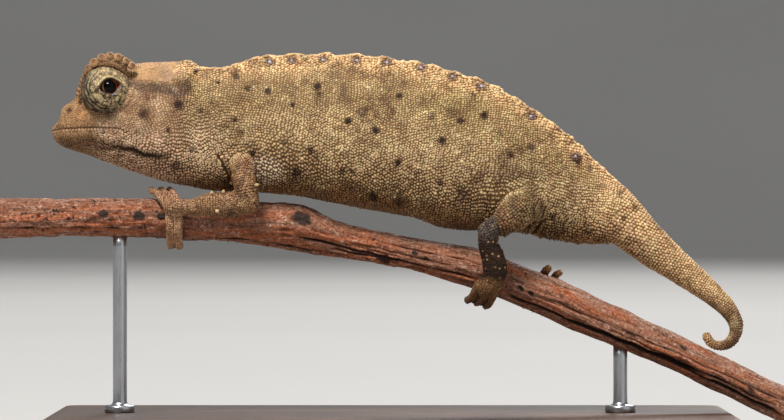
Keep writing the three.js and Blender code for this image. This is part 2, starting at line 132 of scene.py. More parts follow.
def pathThrough(points, count):
    # Centripetal Catmull-Rom curve through the points, cut into equal steps of its length
    p = np.asarray(points, float)
    p = np.vstack([2 * p[0] - p[1], p, 2 * p[-1] - p[-2]])
    gapRoot = np.maximum(np.linalg.norm(np.diff(p, axis=0), axis=1) ** 0.5, 1e-4)
    t = np.linspace(0, 1, 40, endpoint=False)[:, None]
    parts = []
    for i in range(1, len(p) - 2):
        a, b, c = gapRoot[i - 1], gapRoot[i], gapRoot[i + 1]
        leave = b * ((p[i] - p[i - 1]) / a - (p[i + 1] - p[i - 1]) / (a + b) + (p[i + 1] - p[i]) / b)
        arrive = b * ((p[i + 1] - p[i]) / b - (p[i + 2] - p[i]) / (b + c) + (p[i + 2] - p[i + 1]) / c)
        parts.append(hermite(p[i], p[i + 1], leave, arrive, t))
    fine = np.vstack([*parts, p[-2:-1]])
    run = lengthAlong(fine)
    want = np.linspace(0, run[-1], count)
    return np.column_stack([np.interp(want, run, fine[:, k]) for k in range(fine.shape[1])])


def carriedFrames(path):
    # Tangent, and two cross directions carried along the path with the least turning
    tangent = unit(np.gradient(path, axis=0))
    across = np.zeros_like(path)
    across[0] = unit(np.cross(tangent[0], np.eye(3)[np.argmin(np.abs(tangent[0]))]))
    for i in range(1, len(path)):
        carried = across[i - 1] - tangent[i] * np.dot(across[i - 1], tangent[i])
        across[i] = carried / np.linalg.norm(carried)
    return tangent, across, np.cross(tangent, across)


def lineDistance(points, line):
    # Distance in the side view (x, z) to a line through the places, and how far along it that is
    flat = points[:, [0, 2]]
    line = np.asarray(line, float)
    run = lengthAlong(line)
    best = np.full(len(flat), np.inf)
    along = np.zeros(len(flat))
    for k in range(len(line) - 1):
        step = line[k + 1] - line[k]
        t = np.clip((flat - line[k]) @ step / (step @ step), 0, 1)
        away = np.linalg.norm(flat - line[k] - t[:, None] * step, axis=1)
        closer = away < best
        best = np.where(closer, away, best)
        along = np.where(closer, run[k] + t * (run[k + 1] - run[k]), along)
    return best, along / run[-1]


def gridTriangles(rows, sides):
    # Two triangles for each cell of a grid that closes round, and a fan onto a pole at each end
    row = np.arange(rows - 1)[:, None] * sides
    column = np.arange(sides)[None, :]
    following = (column + 1) % sides
    first, second = row + column, row + following
    walls = np.stack([first, second, second + sides, first, second + sides, first + sides], -1)
    column, following = column[0], following[0]
    near = np.column_stack([np.full(sides, rows * sides), following, column])
    top = (rows - 1) * sides
    far = np.column_stack([np.full(sides, rows * sides + 1), column + top, following + top])
    return np.vstack([walls.reshape(-1, 3), near, far])


def outward(points, triangles):
    # Turns a closed shell's faces outwards, by the sign of the volume that they enclose
    a, b, c = (points[triangles[:, k]] for k in range(3))
    volume = np.einsum("ij,ij->i", a, np.cross(b, c)).sum()
    return points, triangles if volume > 0 else triangles[:, ::-1]


def closedShell(grid):
    # A grid of rows along a shape and columns round it, closed with a pole at each end
    rows, sides = grid.shape[:2]
    points = np.vstack([grid.reshape(-1, 3), grid[0].mean(0), grid[-1].mean(0)])
    return outward(points, gridTriangles(rows, sides))


def mirrored(shell):
    # The same shell on the other flank: y becomes minus y, and the faces turn the other way round
    points, triangles = shell
    return points * (1, -1, 1), triangles[:, ::-1]


def gathered(shells):
    # Several shells as one: points one after another, each shell's triangles moved on to its own
    start = np.cumsum([0] + [len(points) for points, _ in shells])
    points = np.vstack([points for points, _ in shells])
    return points, np.vstack([triangles + start[k] for k, (_, triangles) in enumerate(shells)])


def rawMesh(name, points, triangles, scale=1.0):
    # A smooth-shaded mesh: points times scale, and three corners for each triangle
    mesh = bpy.data.meshes.new(name)
    mesh.vertices.add(len(points))
    mesh.vertices.foreach_set("co", np.asarray(points * scale, np.float32).ravel())
    mesh.loops.add(len(triangles) * 3)
    mesh.loops.foreach_set("vertex_index", np.asarray(triangles, np.int32).ravel())
    mesh.polygons.add(len(triangles))
    mesh.polygons.foreach_set("loop_start", np.arange(0, len(triangles) * 3, 3, dtype=np.int32))
    mesh.polygons.foreach_set("use_smooth", np.ones(len(triangles), bool))
    mesh.update(calc_edges=True)
    return mesh


def placed(name, data):
    # An object with this mesh, light or camera, put into the scene
    made = bpy.data.objects.new(name, data)
    bpy.context.scene.collection.objects.link(made)
    return made


def addPiece(name, points, triangles, material, slot, replaced=(), colours=None, vectors=None, uv=None):
    # Puts a shape into the scene in metres, riding on the still body
    mesh = rawMesh(name, points, triangles, metre)
    stored = [("hide", "FLOAT_COLOR", "color", colours), ("grain", "FLOAT_VECTOR", "vector", vectors)]
    for label, kind, part, values in stored:
        if values is not None:
            layer = mesh.attributes.new(label, kind, "POINT")
            layer.data.foreach_set(part, np.asarray(values, np.float32).ravel())
    if uv is not None:
        layer = mesh.uv_layers.new(name="OFBake")
        layer.uv.foreach_set("vector", np.asarray(uv[triangles.ravel()], np.float32).ravel())
    mesh.materials.append(material)
    piece = placed(name, mesh)
    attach(piece, "root")
    if replaced:
        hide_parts(*replaced)
    print(f"{name}: {len(triangles)} triangles")
    return piece


def cornerNormals(points, triangles):
    # Each point's normal is the sum of its triangles' normals, so large ones count for more
    a, b, c = (points[triangles[:, k]] for k in range(3))
    face = np.cross(b - a, c - a)
    index = triangles.ravel()
    spread = np.repeat(face, 3, axis=0)
    total = [np.bincount(index, spread[:, k], len(points)) for k in range(3)]
    return unit(np.column_stack(total))


def relaxed(points, edges, rounds, joins, extra):
    # Each point moves towards the mean of its neighbours and part of the way back, so that steps
    # go and thin parts keep their girth; near the joins it also moves on, which fills their creases
    ends = np.concatenate([edges[:, 0], edges[:, 1]])
    others = np.concatenate([edges[:, 1], edges[:, 0]])
    count = np.bincount(ends, minlength=len(points))[:, None]

    def towardMean(points):
        # The way from each point to the mean of the points that it shares an edge with
        total = [np.bincount(ends, points[others, axis], len(points)) for axis in range(3)]
        return np.column_stack(total) / count - points

    onward, back, fill = 0.55, -0.5, 0.5
    for k in range(rounds):
        points = points + towardMean(points) * (onward if k % 2 == 0 else back)
    for _ in range(extra):
        near = np.zeros(len(points))
        for *place, reach, strength in joins:
            away = np.linalg.norm(points - place, axis=1)
            near = np.maximum(near, strength * bell(away, reach))
        points = points + towardMean(points) * fill * near[:, None]
    return points


def fused(shells, voxel):
    # One closed surface round all the shells, rebuilt on cubes of the given size: its points,
    # triangles and edges
    source = placed("fuse", rawMesh("fuse", *gathered(shells)))
    remesh = source.modifiers.new("fuse", "REMESH")
    remesh.mode = "VOXEL"
    remesh.voxel_size = voxel
    seen = source.evaluated_get(bpy.context.evaluated_depsgraph_get())
    mesh = seen.to_mesh()
    mesh.calc_loop_triangles()
    found = []
    for items, part, width in (
        (mesh.vertices, "co", 3), (mesh.loop_triangles, "vertices", 3), (mesh.edges, "vertices", 2),
    ):
        values = np.zeros(len(items) * width, float if part == "co" else int)
        items.foreach_get(part, values)
        found.append(values.reshape(-1, width))
    seen.to_mesh_clear()
    bpy.data.objects.remove(source)
    return found


# Sections of head and trunk: back point (x, z), belly point (x, z), half width, and how much
# narrower the section is above its middle
bodyStations = np.array([
    [-28.88, 27.39, -28.87, 26.95, 0.45, 0.0],
    [-28.52, 27.78, -28.66, 26.33, 1.0, 0.0],
    [-28.15, 28.2, -28.35, 25.99, 1.4, 0.0],
    [-28.07, 28.94, -27.88, 25.71, 1.6, 0.0],
    [-27.71, 29.41, -27.29, 25.46, 1.75, 0.0],
    [-27.16, 29.71, -26.61, 25.2, 1.9, 0.0],
    [-26.52, 30.6, -25.67, 24.91, 2.1, 0.0],
    [-25.5, 32.09, -24.65, 24.57, 2.35, 0.0],
    [-24.14, 32.68, -23.29, 24.1, 2.7, 0.0],
    [-22.44, 32.77, -21.76, 23.55, 3.0, 0.0],
    [-20.57, 32.98, -20.06, 22.99, 3.1, 0.05],
    [-18.36, 33.02, -17.94, 22.53, 2.85, 0.1],
    [-17.17, 33.11, -16.66, 22.31, 2.65, 0.15],
    [-16.15, 32.55, -15.47, 22.1, 2.55, 0.2],
    [-14.45, 32.51, -14.11, 22.02, 2.6, 0.22],
    [-12.07, 33.12, -12.24, 21.97, 2.85, 0.25],
    [-8.67, 33.48, -9.1, 21.72, 3.2, 0.28],
    [-4.85, 33.53, -5.27, 21.12, 3.45, 0.28],
    [-0.6, 33.23, -1.45, 20.36, 3.55, 0.28],
    [3.23, 32.54, 1.96, 19.72, 3.45, 0.26],
    [5.61, 31.9, 4.08, 18.96, 3.3, 0.25],
    [7.91, 31.14, 6.21, 18.7, 3.1, 0.25],
    [10.54, 29.7, 8.93, 18.62, 2.8, 0.25],
    [13.01, 28.08, 11.39, 18.45, 2.45, 0.25],
    [15.13, 26.38, 13.43, 17.94, 2.15, 0.22],
    [17.34, 24.44, 16.1, 17.55, 1.9, 0.2],
    [19.72, 22.31, 18.55, 17.52, 1.7, 0.18],
])
tailRun = [(18.19, 20.74), (19.75, 19.35), (22.66, 16.82), (25.41, 14.69), (27.28, 13.19), (28.35, 12.2)]
tailCurl = dict(x=27.75, z=10.12, radius=1.31, start=45, end=247, opening=0.4, closing=0.22)
tailHalf = dict(root=2.35, tip=0.41, taper=1.3)
eye = dict(x=-24.14, y=2.15, z=30.58, radius=2.12, dome=1.5, back=17, up=10, ball=0.74, depth=0.86)
brow = dict(start=-104, end=47, beads=(0.36, 0.68), half=0.62, inner=2.02, front=2.4, crown=3.19)
coatDepth = 0.07  # how far the skin lies inside the solids


def toeBundle(toes, run, spread, bunch, turn, lift, half):
    # How many toes, x at root and tip, how far apart the tips stand and the share of it at the roots,
    # degrees round the branch and height over the bark at root and tip, and half thickness
    return dict(toes=toes, run=run, spread=spread, bunch=bunch, turn=turn, lift=lift, half=half)


limbs = {  # each bone a few rows of x, y, z and half thickness, and the toes over and under the branch
    "frontLeft": dict(
        side=-1,
        upper=[(-12.6, 1.6, 24.82, 0.89), (-12.6, 2.9, 23.63, 0.92), (-12.3, 3.4, 22.19, 1.02),
               (-12.1, 3.4, 21.1, 0.97)],
        lower=[(-12.1, 3.4, 21.0, 0.97), (-13.65, 3.15, 20.87, 1.07), (-15.6, 3.05, 20.83, 1.04),
               (-16.95, 2.8, 20.61, 0.77), (-17.9, 2.65, 20.74, 0.62)],
        palm=[(-17.75, 2.6, 20.74, 0.62), (-18.6, 2.5, 20.74, 0.72)],
        over=toeBundle(3, (-18.55, -19.65), 0.78, 0.6, (28, 82), (0.1, 0.2), 0.42),
        under=toeBundle(2, (-18.4, -18.44), 0.76, 1, (20, -98), (0.1, 0.1), 0.43),
    ),
    "frontRight": dict(
        side=1,
        upper=[(-12.67, 1.6, 24.82, 0.89), (-12.67, 2.9, 23.63, 0.92), (-12.41, 3.6, 22.19, 0.98),
               (-12.33, 3.7, 21.1, 0.89)],
        lower=[(-12.33, 3.7, 21.0, 0.89), (-12.8, 3.35, 20.6, 0.86), (-13.4, 3.0, 20.3, 0.66)],
        palm=[(-13.3, 2.85, 20.35, 0.62), (-13.9, 2.65, 20.2, 0.72)],
        over=toeBundle(3, (-14.0, -14.3), 0.76, 0.6, (25, 74), (0.1, 0.05), 0.4),
        under=toeBundle(2, (-13.7, -13.6), 0.76, 1, (15, -40), (0.1, 0.02), 0.4),
    ),
    "hindLeft": dict(
        side=-1,
        upper=[(11.56, 1.6, 21.25, 1.45), (10.2, 2.9, 19.95, 1.5), (9.0, 3.6, 19.1, 1.2),
               (8.15, 3.8, 18.7, 0.87)],
        lower=[(8.05, 3.8, 18.62, 0.87), (8.08, 3.65, 17.6, 0.89), (8.5, 3.3, 16.32, 1.02),
               (8.71, 3.1, 15.2, 1.04)],
        palm=[(8.65, 3.0, 14.9, 0.98), (8.1, 2.7, 13.9, 1.02)],
        over=toeBundle(2, (8.7, 8.85), 0.74, 0.8, (-12, 128), (0.1, 0.02), 0.38),
        under=toeBundle(3, (8.0, 7.2), 0.76, 0.9, (-30, -92), (0.15, 0.62), 0.44),
    ),
    "hindRight": dict(
        side=1,
        upper=[(11.56, 1.6, 21.25, 1.36), (9.86, 2.9, 20.06, 1.1), (8.2, 4.0, 18.5, 0.81)],
        lower=[(8.1, 4.0, 18.4, 0.77), (8.42, 3.9, 17.34, 0.71), (9.1, 3.6, 15.73, 0.7),
               (10.1, 3.1, 14.3, 0.71)],
        palm=[(10.3, 2.95, 14.1, 0.7), (12.4, 2.55, 13.2, 0.76)],
        over=toeBundle(2, (13.0, 13.8), 0.96, 0.8, (10, 80), (0.1, 0.16), 0.41),
        under=toeBundle(3, (12.0, 12.0), 0.76, 0.8, (0, -46), (0.1, 0.02), 0.38),
    ),
}

# Perch: x, z and radius of the branch from its front end to its rear end
perchStations = np.array([
    [-34.6, 19.59, 1.74], [-28.22, 19.76, 1.66], [-23.12, 19.8, 1.62], [-17.6, 19.64, 1.72],
    [-12.3, 19.3, 1.76], [-8.08, 18.96, 2.02], [-4.42, 17.94, 1.49], [0.68, 16.87, 1.32],
    [4.08, 16.07, 1.47], [7.31, 15.3, 1.7], [10.71, 14.03, 1.68], [14.28, 12.67, 1.78],
    [17.68, 11.05, 1.6], [22.78, 8.84, 1.5], [27.88, 6.46, 1.48], [34.6, 3.23, 1.48],
])
perchLine = splineAt(perchStations, np.linspace(0, 1, 600))


def perchAt(x):
    # Height and radius of the branch at x, read off its line
    along, height, radius = perchLine.T
    return np.interp(x, along, height), np.interp(x, along, radius)


def bodySurface(s, t, inset=0.0):
    # Section s from the lip to the tail root, t round it from the back over the left side:
    # centre + tall cos(t) + wide sin(t) (1 - ridge cos(t))
    row = splineAt(bodyStations, s)
    top, low = row[..., 0:2], row[..., 2:4]
    centre, tall = (top + low) / 2, (top - low) / 2
    length = np.linalg.norm(tall, axis=-1, keepdims=True)
    tall = tall * (1 - inset / length)
    turn = 2 * np.pi * t
    high = tall * np.cos(turn)[..., None] + centre
    y = -(row[..., 4] - inset) * np.sin(turn) * (1 - row[..., 5] * np.cos(turn))
    return np.stack([high[..., 0] + 0 * y, y, high[..., 1] + 0 * y], -1)


def tailCentre(count):
    # The straight run, then an arc whose radius eases out of it and tightens to the tip
    share = np.linspace(0, 1, 9)
    turn = np.radians(lerp(tailCurl["start"], tailCurl["end"], share))
    radius = tailCurl["radius"] + tailCurl["opening"] * (1 - share) ** 3 - tailCurl["closing"] * share**3
    arc = np.column_stack([tailCurl["x"] + radius * np.sin(turn), tailCurl["z"] + radius * np.cos(turn)])
    flat = np.vstack([tailRun, arc])
    return pathThrough(np.insert(flat, 1, 0, axis=1), count)


def tailGrid(rows, sides, inset=0.0):
    # Rings square to the tail's line, taller than wide at the root and rounder at the tip
    path = tailCentre(rows)
    share = np.linspace(0, 1, rows)[:, None]
    tangent = unit(np.gradient(path, axis=0))
    out = np.column_stack([-tangent[:, 2], np.zeros(rows), tangent[:, 0]])
    half = tailHalf["tip"] + (tailHalf["root"] - tailHalf["tip"]) * (1 - share) ** tailHalf["taper"] - inset
    turn = circle(sides)[None, :]
    tall = (half * np.cos(turn))[..., None] * out[:, None, :]
    wide = half * lerp(0.8, 0.95, share) * np.sin(turn) * (1 - lerp(0.15, 0.05, share) * np.cos(turn))
    grid = path[:, None, :] + tall - wide[..., None] * np.array([0, 1, 0])
    cap = []
    for bend in (0.5, 0.95, 1.3):
        ring = (grid[-1] - path[-1]) * np.cos(bend)
        cap.append(path[-1] + ring + tangent[-1] * np.sin(bend) * half[-1])
    return np.concatenate([grid, np.array(cap)])


def tubeGrid(points, rows, sides, inset=0.0):
    # A round tube through points of x, y, z and half thickness, with domed ends
    points = np.asarray(points, float)
    path = pathThrough(points[:, :3], rows)
    tangent, across, up = carriedFrames(path)
    half = splineAt(points[:, 3:], np.linspace(0, 1, rows))[:, 0] - inset
    bend = np.radians([72, 50, 26])
    centre = np.concatenate([
        path[0] - tangent[0] * half[0] * np.sin(bend)[:, None], path,
        path[-1] + tangent[-1] * half[-1] * np.sin(bend[::-1])[:, None],
    ])
    size = np.concatenate([half[0] * np.cos(bend), half, half[-1] * np.cos(bend[::-1])])
    pick = np.concatenate([[0, 0, 0], np.arange(rows), [rows - 1] * 3])
    turn = circle(sides)
    turn = turn[None, :, None]
    ring = across[pick][:, None] * np.cos(turn) + up[pick][:, None] * np.sin(turn)
    return centre[:, None] + ring * size[:, None, None]


def onSide(points, side):
    # Rows of x, y, z and half thickness with y times -1 (left) or 1 (right)
    return [(x, side * y, z, half) for x, y, z, half in points]


def toePath(bundle, side, index):
    # Turns about the branch from one angle to another while it runs along it; the angle is 0 at
    # the side of the branch and 90 on top
    steps = max(3, round(abs(bundle["turn"][1] - bundle["turn"][0]) / 34))
    share = np.linspace(0, 1, steps + 1)
    offset = (index - (bundle["toes"] - 1) / 2) * bundle["spread"]
    x = lerp(bundle["run"][0] + offset * bundle["bunch"], bundle["run"][1] + offset, share)
    z, radius = perchAt(x)
    angle = np.radians(lerp(*bundle["turn"], share))
    reach = radius * 1.05 + bundle["half"] + lerp(*bundle["lift"], share)
    half = bundle["half"] * lerp(1, 0.88, share)
    return np.column_stack([x, side * reach * np.cos(angle), z + reach * np.sin(angle), half])


def browReach(degrees):
    # How far the brow's rim stands from the middle of the eye: low in front, high over the eye
    crown = easeStep(degrees, -57, 12)
    start = 0.25 * easeDown(degrees, -104, -78)
    return brow["front"] + (brow["crown"] - brow["front"]) * crown + start


def browSpread(degrees):
    # How far the brow stands out sideways from the middle plane: widest over the eye
    return lerp(1.5, 2.3, easeStep(degrees, -104, 0)) - 0.4 * easeStep(degrees, 5, 50)


def browGrid(rows, sides):
    # The left brow: an arched shelf whose rim stands at browReach from the middle of the eye
    degrees = np.linspace(brow["start"] - 4, brow["end"] + 8, rows)
    reach = browReach(degrees) - 0.34
    ends = np.clip(np.minimum(np.arange(rows) / 2, np.arange(rows)[::-1] / (rows * 0.12)), 0.35, 1)
    half = np.maximum((reach - brow["inner"]) / 2, 0.16) * ends
    turn = np.radians(degrees)
    out = np.column_stack([np.sin(turn), np.zeros(rows), np.cos(turn)])
    centre = np.array([eye["x"], 0, eye["z"]]) + out * (brow["inner"] + half)[:, None]
    centre[:, 1] = -browSpread(degrees)
    around = circle(sides)
    tall = out[:, None] * ((half + 0.06)[:, None] * np.cos(around))[..., None]
    wide = np.array([0, 1, 0]) * ((brow["half"] * ends)[:, None] * np.sin(around))[..., None]
    return centre[:, None] + tall + wide


# The left eye's own directions: out along its sight, towards the tail, and up
sightBack, sightUp = np.radians(eye["back"]), np.radians(eye["up"])
sightLeft = unit(np.array([
    np.sin(sightBack) * np.cos(sightUp), -np.cos(sightBack) * np.cos(sightUp), np.sin(sightUp),
]))
upLeft = unit(np.array([0, 0, 1.0]) - sightLeft * sightLeft[2])
rearLeft = np.cross(upLeft, sightLeft)
eyeCentre = np.array([eye["x"], -eye["y"], eye["z"]])


def inEye(rear, up, out):
    # Places given in the left eye's directions, in the frame of the model
    return eyeCentre + rear[..., None] * rearLeft + up[..., None] * upLeft + out[..., None] * sightLeft


lids = dict(radius=0.66, corner=0.26, lean=12)


def lidEdge(angle):
    # Radius of the opening between the lids: round, drawn out to a corner at each end
    lean = angle - np.radians(lids["lean"])
    return lids["radius"] + lids["corner"] * np.abs(np.cos(lean)) ** 9


furrows = [(0.95, 0.1, 0.9), (0.86, 0.12, 1.0), (0.77, 0.09, 0.8)]  # share of the radius, depth, strength
furrowSide = np.radians(215)  # low in front
rimStart = 0.42  # rows of the turret beyond this share are its outside, the others its pocket


def turretGrid(sides, inset=0.0):
    # A dome turned about the line of sight, with curved furrows low in front, a rolled rim
    # round the lids and a pocket for the ball
    angle = circle(sides)[None, :]
    edge = lidEdge(angle)
    share = np.concatenate([np.linspace(1.0, rimStart, 44), np.linspace(0.41, 0.0, 12)])[:, None]
    reach = eye["radius"] - inset
    radius = lerp(edge + 0.05, reach, np.clip((share - rimStart) / 0.58, 0, 1) ** 0.9)
    dome = (eye["dome"] - inset) * np.sqrt(np.clip(1 - (radius / reach) ** 2 * 0.985, 0, 1))
    lowFront = bell(wrapped(angle - furrowSide), 1.25)
    for place, depth, strength in furrows:
        dome = dome - depth * bell(radius / reach - place, 0.022) * np.clip(lowFront * strength * 1.6, 0.3, 1)
    rim = 0.07 * bell(radius - edge - 0.1, 0.07)
    dome = dome + rim - 0.07 * bell(radius - edge - 0.3, 0.08)
    outer = share >= rimStart
    inner = np.clip(share / 0.41, 0, 1)
    pocketRadius = (edge + 0.05) * inner**0.8
    pocketDome = 1.5 - 0.85 * (1 - inner**3)
    radius = np.where(outer, radius, pocketRadius)
    height = np.where(outer, dome, np.minimum(pocketDome, 1.45))
    skirt = inEye(reach * 0.98 * np.cos(angle), reach * 0.98 * np.sin(angle), 0 * angle - 0.9)
    grid = inEye(radius * np.cos(angle), radius * np.sin(angle), height)
    return np.concatenate([skirt, grid])


print("measures ready")


def bodyGrid(rows, sides, inset=0.0):
    # The body's surface at even steps along it and round it
    return bodySurface(np.linspace(0, 1, rows)[:, None], (np.arange(sides) / sides)[None, :], inset)


skinPlan = dict(voxel=0.168, rounds=5, extra=40, joins=[  # each join's place, reach and strength
    (-12.6, -2.8, 24.6, 1.15, 1), (-12.6, 2.8, 24.6, 1.15, 1),
    (10.9, -3.0, 21.5, 1.6, 1), (11.2, 2.9, 21.5, 1.6, 1),
])
limbTubes = {}
for name, limb in limbs.items():
    side = limb["side"]
    for bone in ("upper", "lower", "palm"):
        limbTubes[name + bone.capitalize()] = onSide(limb[bone], side)
    for word in ("over", "under"):
        for k in range(limb[word]["toes"]):
            limbTubes[f"{name}{word.capitalize()}{k + 1}"] = toePath(limb[word], side, k)

shells = [
    closedShell(bodyGrid(200, 72, coatDepth)),
    closedShell(tailGrid(160, 40, coatDepth)),
    closedShell(browGrid(40, 24)),
    mirrored(closedShell(browGrid(40, 24))),
]
shells += [closedShell(tubeGrid(points, 24, 24, coatDepth * 0.8)) for points in limbTubes.values()]
for limb in (limbs["frontLeft"], limbs["frontRight"]):
    # The toes of each bundle of a hand are joined by skin for most of their length
    for word, places in (("under", (0.5,)), ("over", (0.5, 1.5))):
        for place in places:
            path = toePath(limb[word], limb["side"], place)
            web = pathThrough(path[:-1] if word == "under" else path, 12)[:-2] * (1, 1, 1, 0.86)
            shells.append(closedShell(tubeGrid(web, 24, 24, coatDepth)))
skinPoints, skinTriangles, skinEdges = fused(shells, skinPlan["voxel"])
skinPoints = relaxed(skinPoints, skinEdges, skinPlan["rounds"], skinPlan["joins"], skinPlan["extra"])
print(f"skin fused: {len(skinTriangles)} triangles")

# Lines of the head in the side view
mouthLine = [(-29.0, 27.1), (-28.05, 27.24), (-26.5, 27.34), (-23.6, 27.34), (-22.95, 27.24), (-22.4, 26.92)]
gularLine = [(-28.05, 26.01), (-26.52, 26.27), (-24.82, 25.92), (-23.12, 25.67), (-21.84, 25.5),
             (-20.99, 25.07), (-19.46, 24.91)]
neckSlit = [(-14.96, 25.33), (-14.45, 24.65), (-13.77, 23.12), (-13.68, 22.44)]
casqueEdge = [(-21.9, 31.5), (-20.6, 31.35), (-19.2, 31.2), (-17.8, 31.35), (-16.9, 31.8)]
canthus = [(-27.5, 29.35), (-27.0, 29.5), (-26.5, 30.0)]
hipFold = [(12.9, 19.6), (12.3, 18.9), (12.0, 18.2)]
nostrilPlace = (-27.37, 28.81)
crestTops = [-11.73, -10.62, -8.33, -5.69, -2.97, -0.51, 1.96, 3.5, 5.36, 7.2, 8.9, 10.54, 12.33,
             13.69, 14.96, 16.1]
creases = [  # line, height (below zero for a groove), half width, share of the line over which it begins
    (mouthLine, -0.1, 0.13, 0), (neckSlit, -0.3, 0.13, 0.2), (casqueEdge, 0.12, 0.3, 0.1),
    (canthus, 0.1, 0.3, 0), (hipFold, -0.2, 0.2, 0),
]
folds = [  # arched folds of arm, hip and groin: middle (x, z), height, waves, lean, radius, width
    (-12.6, 23.6, 0.035, 7.5, 0, 2.1, 1.0), (11.5, 19.6, 0.05, 6.5, 0.6, 2.4, 1.2),
    (9.0, 20.6, 0.07, 8.5, 0.4, 3.3, 0.9),
]


def betweenToes(points):
    # Depth of the groove between two neighbouring toes, where both are equally far away
    groove = np.zeros(len(points))
    for limb in limbs.values():
        for bundle in (limb["over"], limb["under"]):
            toes = [toePath(bundle, limb["side"], k)[:, :3] for k in range(bundle["toes"])]
            paths = [pathThrough(toe, 30)[9:] for toe in toes]
            near = np.linalg.norm(points - paths[0].mean(0), axis=1) < 4
            chosen = points[near][:, None]
            away = [np.linalg.norm(chosen - path[None], axis=2).min(1) for path in paths]
            first, second = np.sort(away, axis=0)[:2]
            webbed = bundle in (limbs["frontLeft"]["under"], limbs["frontRight"]["under"])
            wide, deep = (0.12, 0.06) if webbed else (0.2, 0.24)
            line = deep * bell(second - first, wide) * easeDown(second, 0.62, 0.85)
            groove[near] = np.maximum(groove[near], line)
    return groove


def relief(points):
    # How far the skin stands out (or in, below zero) along its normal: crest scallops, folds,
    # grooves, nostrils, a crease round each eye turret and a soft waviness
    x, y, z = points.T
    flank = easeStep(np.abs(y), 0.35, 0.9)
    backZ = np.interp(x, bodyStations[:, 0], bodyStations[:, 1])
    onBack = bell(y, 0.8) * easeStep(z, backZ - 0.9, backZ - 0.3)
    scallop = np.max([bell(x - place, 0.62) for place in crestTops], axis=0)
    rise = 0.2 * onBack * scallop * easeStep(x, -13, -11) * easeDown(x, 15.5, 17)
    for line, height, width, begins in creases:
        away, along = lineDistance(points, line)
        begun = easeStep(along, 0, begins) if begins else 1
        rise += height * bell(away, width) * begun * flank
    gular, along = lineDistance(points, gularLine)
    fade = easeStep(along, 0, 0.12) * easeDown(along, 0.88, 1)
    deep = easeStep(along, 0.35, 0.65)
    rise -= lerp(0.1, 0.3, deep) * bell(gular, lerp(0.4, 0.2, deep)) * fade * flank
    below = np.interp(x, *np.transpose(gularLine)) - z
    rise -= 0.12 * easeStep(below, 0, 0.4) * easeDown(below, 0.7, 1.8) * flank * (x < -19.4)
    nostril = np.hypot(x - nostrilPlace[0], z - nostrilPlace[1])
    pit = 0.1 * bell(nostril - 0.4, 0.2) - 0.26 * bell(nostril, 0.22)
    rise += pit * easeStep(np.abs(y), 0.9, 1.3)
    for side in (1, -1):
        away = points * (1, side, 1) - eyeCentre
        ahead = away @ sightLeft
        ring = np.linalg.norm(away - ahead[:, None] * sightLeft, axis=1)
        rise -= 0.12 * bell(ring - eye["radius"] - 0.05, 0.2) * (ahead > -1.5)
    inFolds = (z > 22, 1, easeStep(x, 10.2, 11.4) * (z < 21))
    for (midX, midZ, height, waves, lean, radius, width), here in zip(folds, inFolds):
        away = np.hypot(x - midX, z - midZ)
        rise += height * np.sin(away * waves + lean * x) * bell(away - radius, width) * flank * here
    rise += 0.05 * cloud(points, 2.6, 3) + 0.03 * cloud(points, 0.9, 4)
    return rise - betweenToes(points)


skinNormals = cornerNormals(skinPoints, skinTriangles)
skinPoints = skinPoints + skinNormals * relief(skinPoints)[:, None]
skinNormals = cornerNormals(skinPoints, skinTriangles)
print("skin shaped")

shades = dict(
    crest=(206, 170, 122), upper=(168, 143, 101), middle=(176, 150, 111), lower=(176, 148, 108),
    belly=(158, 120, 80), olive=(168, 151, 100), olivePatch=(108, 86, 57), throat=(204, 170, 140),
    cheek=(160, 126, 96), muzzle=(150, 115, 80), casque=(158, 122, 84), stripe=(84, 64, 50),
    spot=(48, 30, 19), pearl=(170, 164, 166), spike=(172, 142, 104), tail=(208, 171, 126),
    tailTip=(108, 77, 54), turret=(142, 122, 92), turretPale=(190, 168, 126), turretDark=(58, 44, 30),
    turretGrey=(112, 106, 86), furrow=(20, 14, 10), lidPale=(190, 194, 206), lidRed=(116, 46, 24),
    umber=(108, 78, 54), straw=(202, 180, 134), whitish=(200, 173, 140), armpit=(232, 212, 184),
    armRoot=(168, 114, 88), lilac=(112, 92, 90), orange=(176, 130, 84), arm=(152, 118, 86),
    hand=(160, 124, 96), toe=(184, 146, 112), thigh=(116, 86, 58), shin=(52, 34, 21),
    foot=(120, 87, 58), knee=(84, 72, 66), spinyTip=(190, 160, 112), boldTip=(216, 196, 152),
)
shades = {name: tint(*shade) for name, shade in shades.items()}
bands = [("lower", 0.04, 0.2), ("middle", 0.2, 0.45), ("upper", 0.5, 0.7), ("crest", 0.8, 0.95)]
patches = [  # shade, middle (x, z), half sizes, the shares of them where the edge runs, strength
    ("olive", (5.5, 29.4), (3.2, 1.3), (0.5, 1.3), 0.5),
    ("olivePatch", (-15.0, 27.6), (3.5, 2.6), (0.4, 1.2), 0.25),
    ("olivePatch", (11.0, 23.2), (2.6, 2.4), (0.3, 1.2), 0.7),
    ("olivePatch", (10.6, 20.9), (2.0, 1.6), (0.4, 1.3), 0.75),
    ("olivePatch", (13.5, 19.5), (3.0, 2.2), (0.4, 1.1), 0.5),
]
eyeStripe = [(-22.2, 31.0), (-20.5, 30.75), (-18.6, 30.5), (-16.8, 30.1)]
napeSeam = [(-19.5, 32.6), (-18.5, 31.45)]
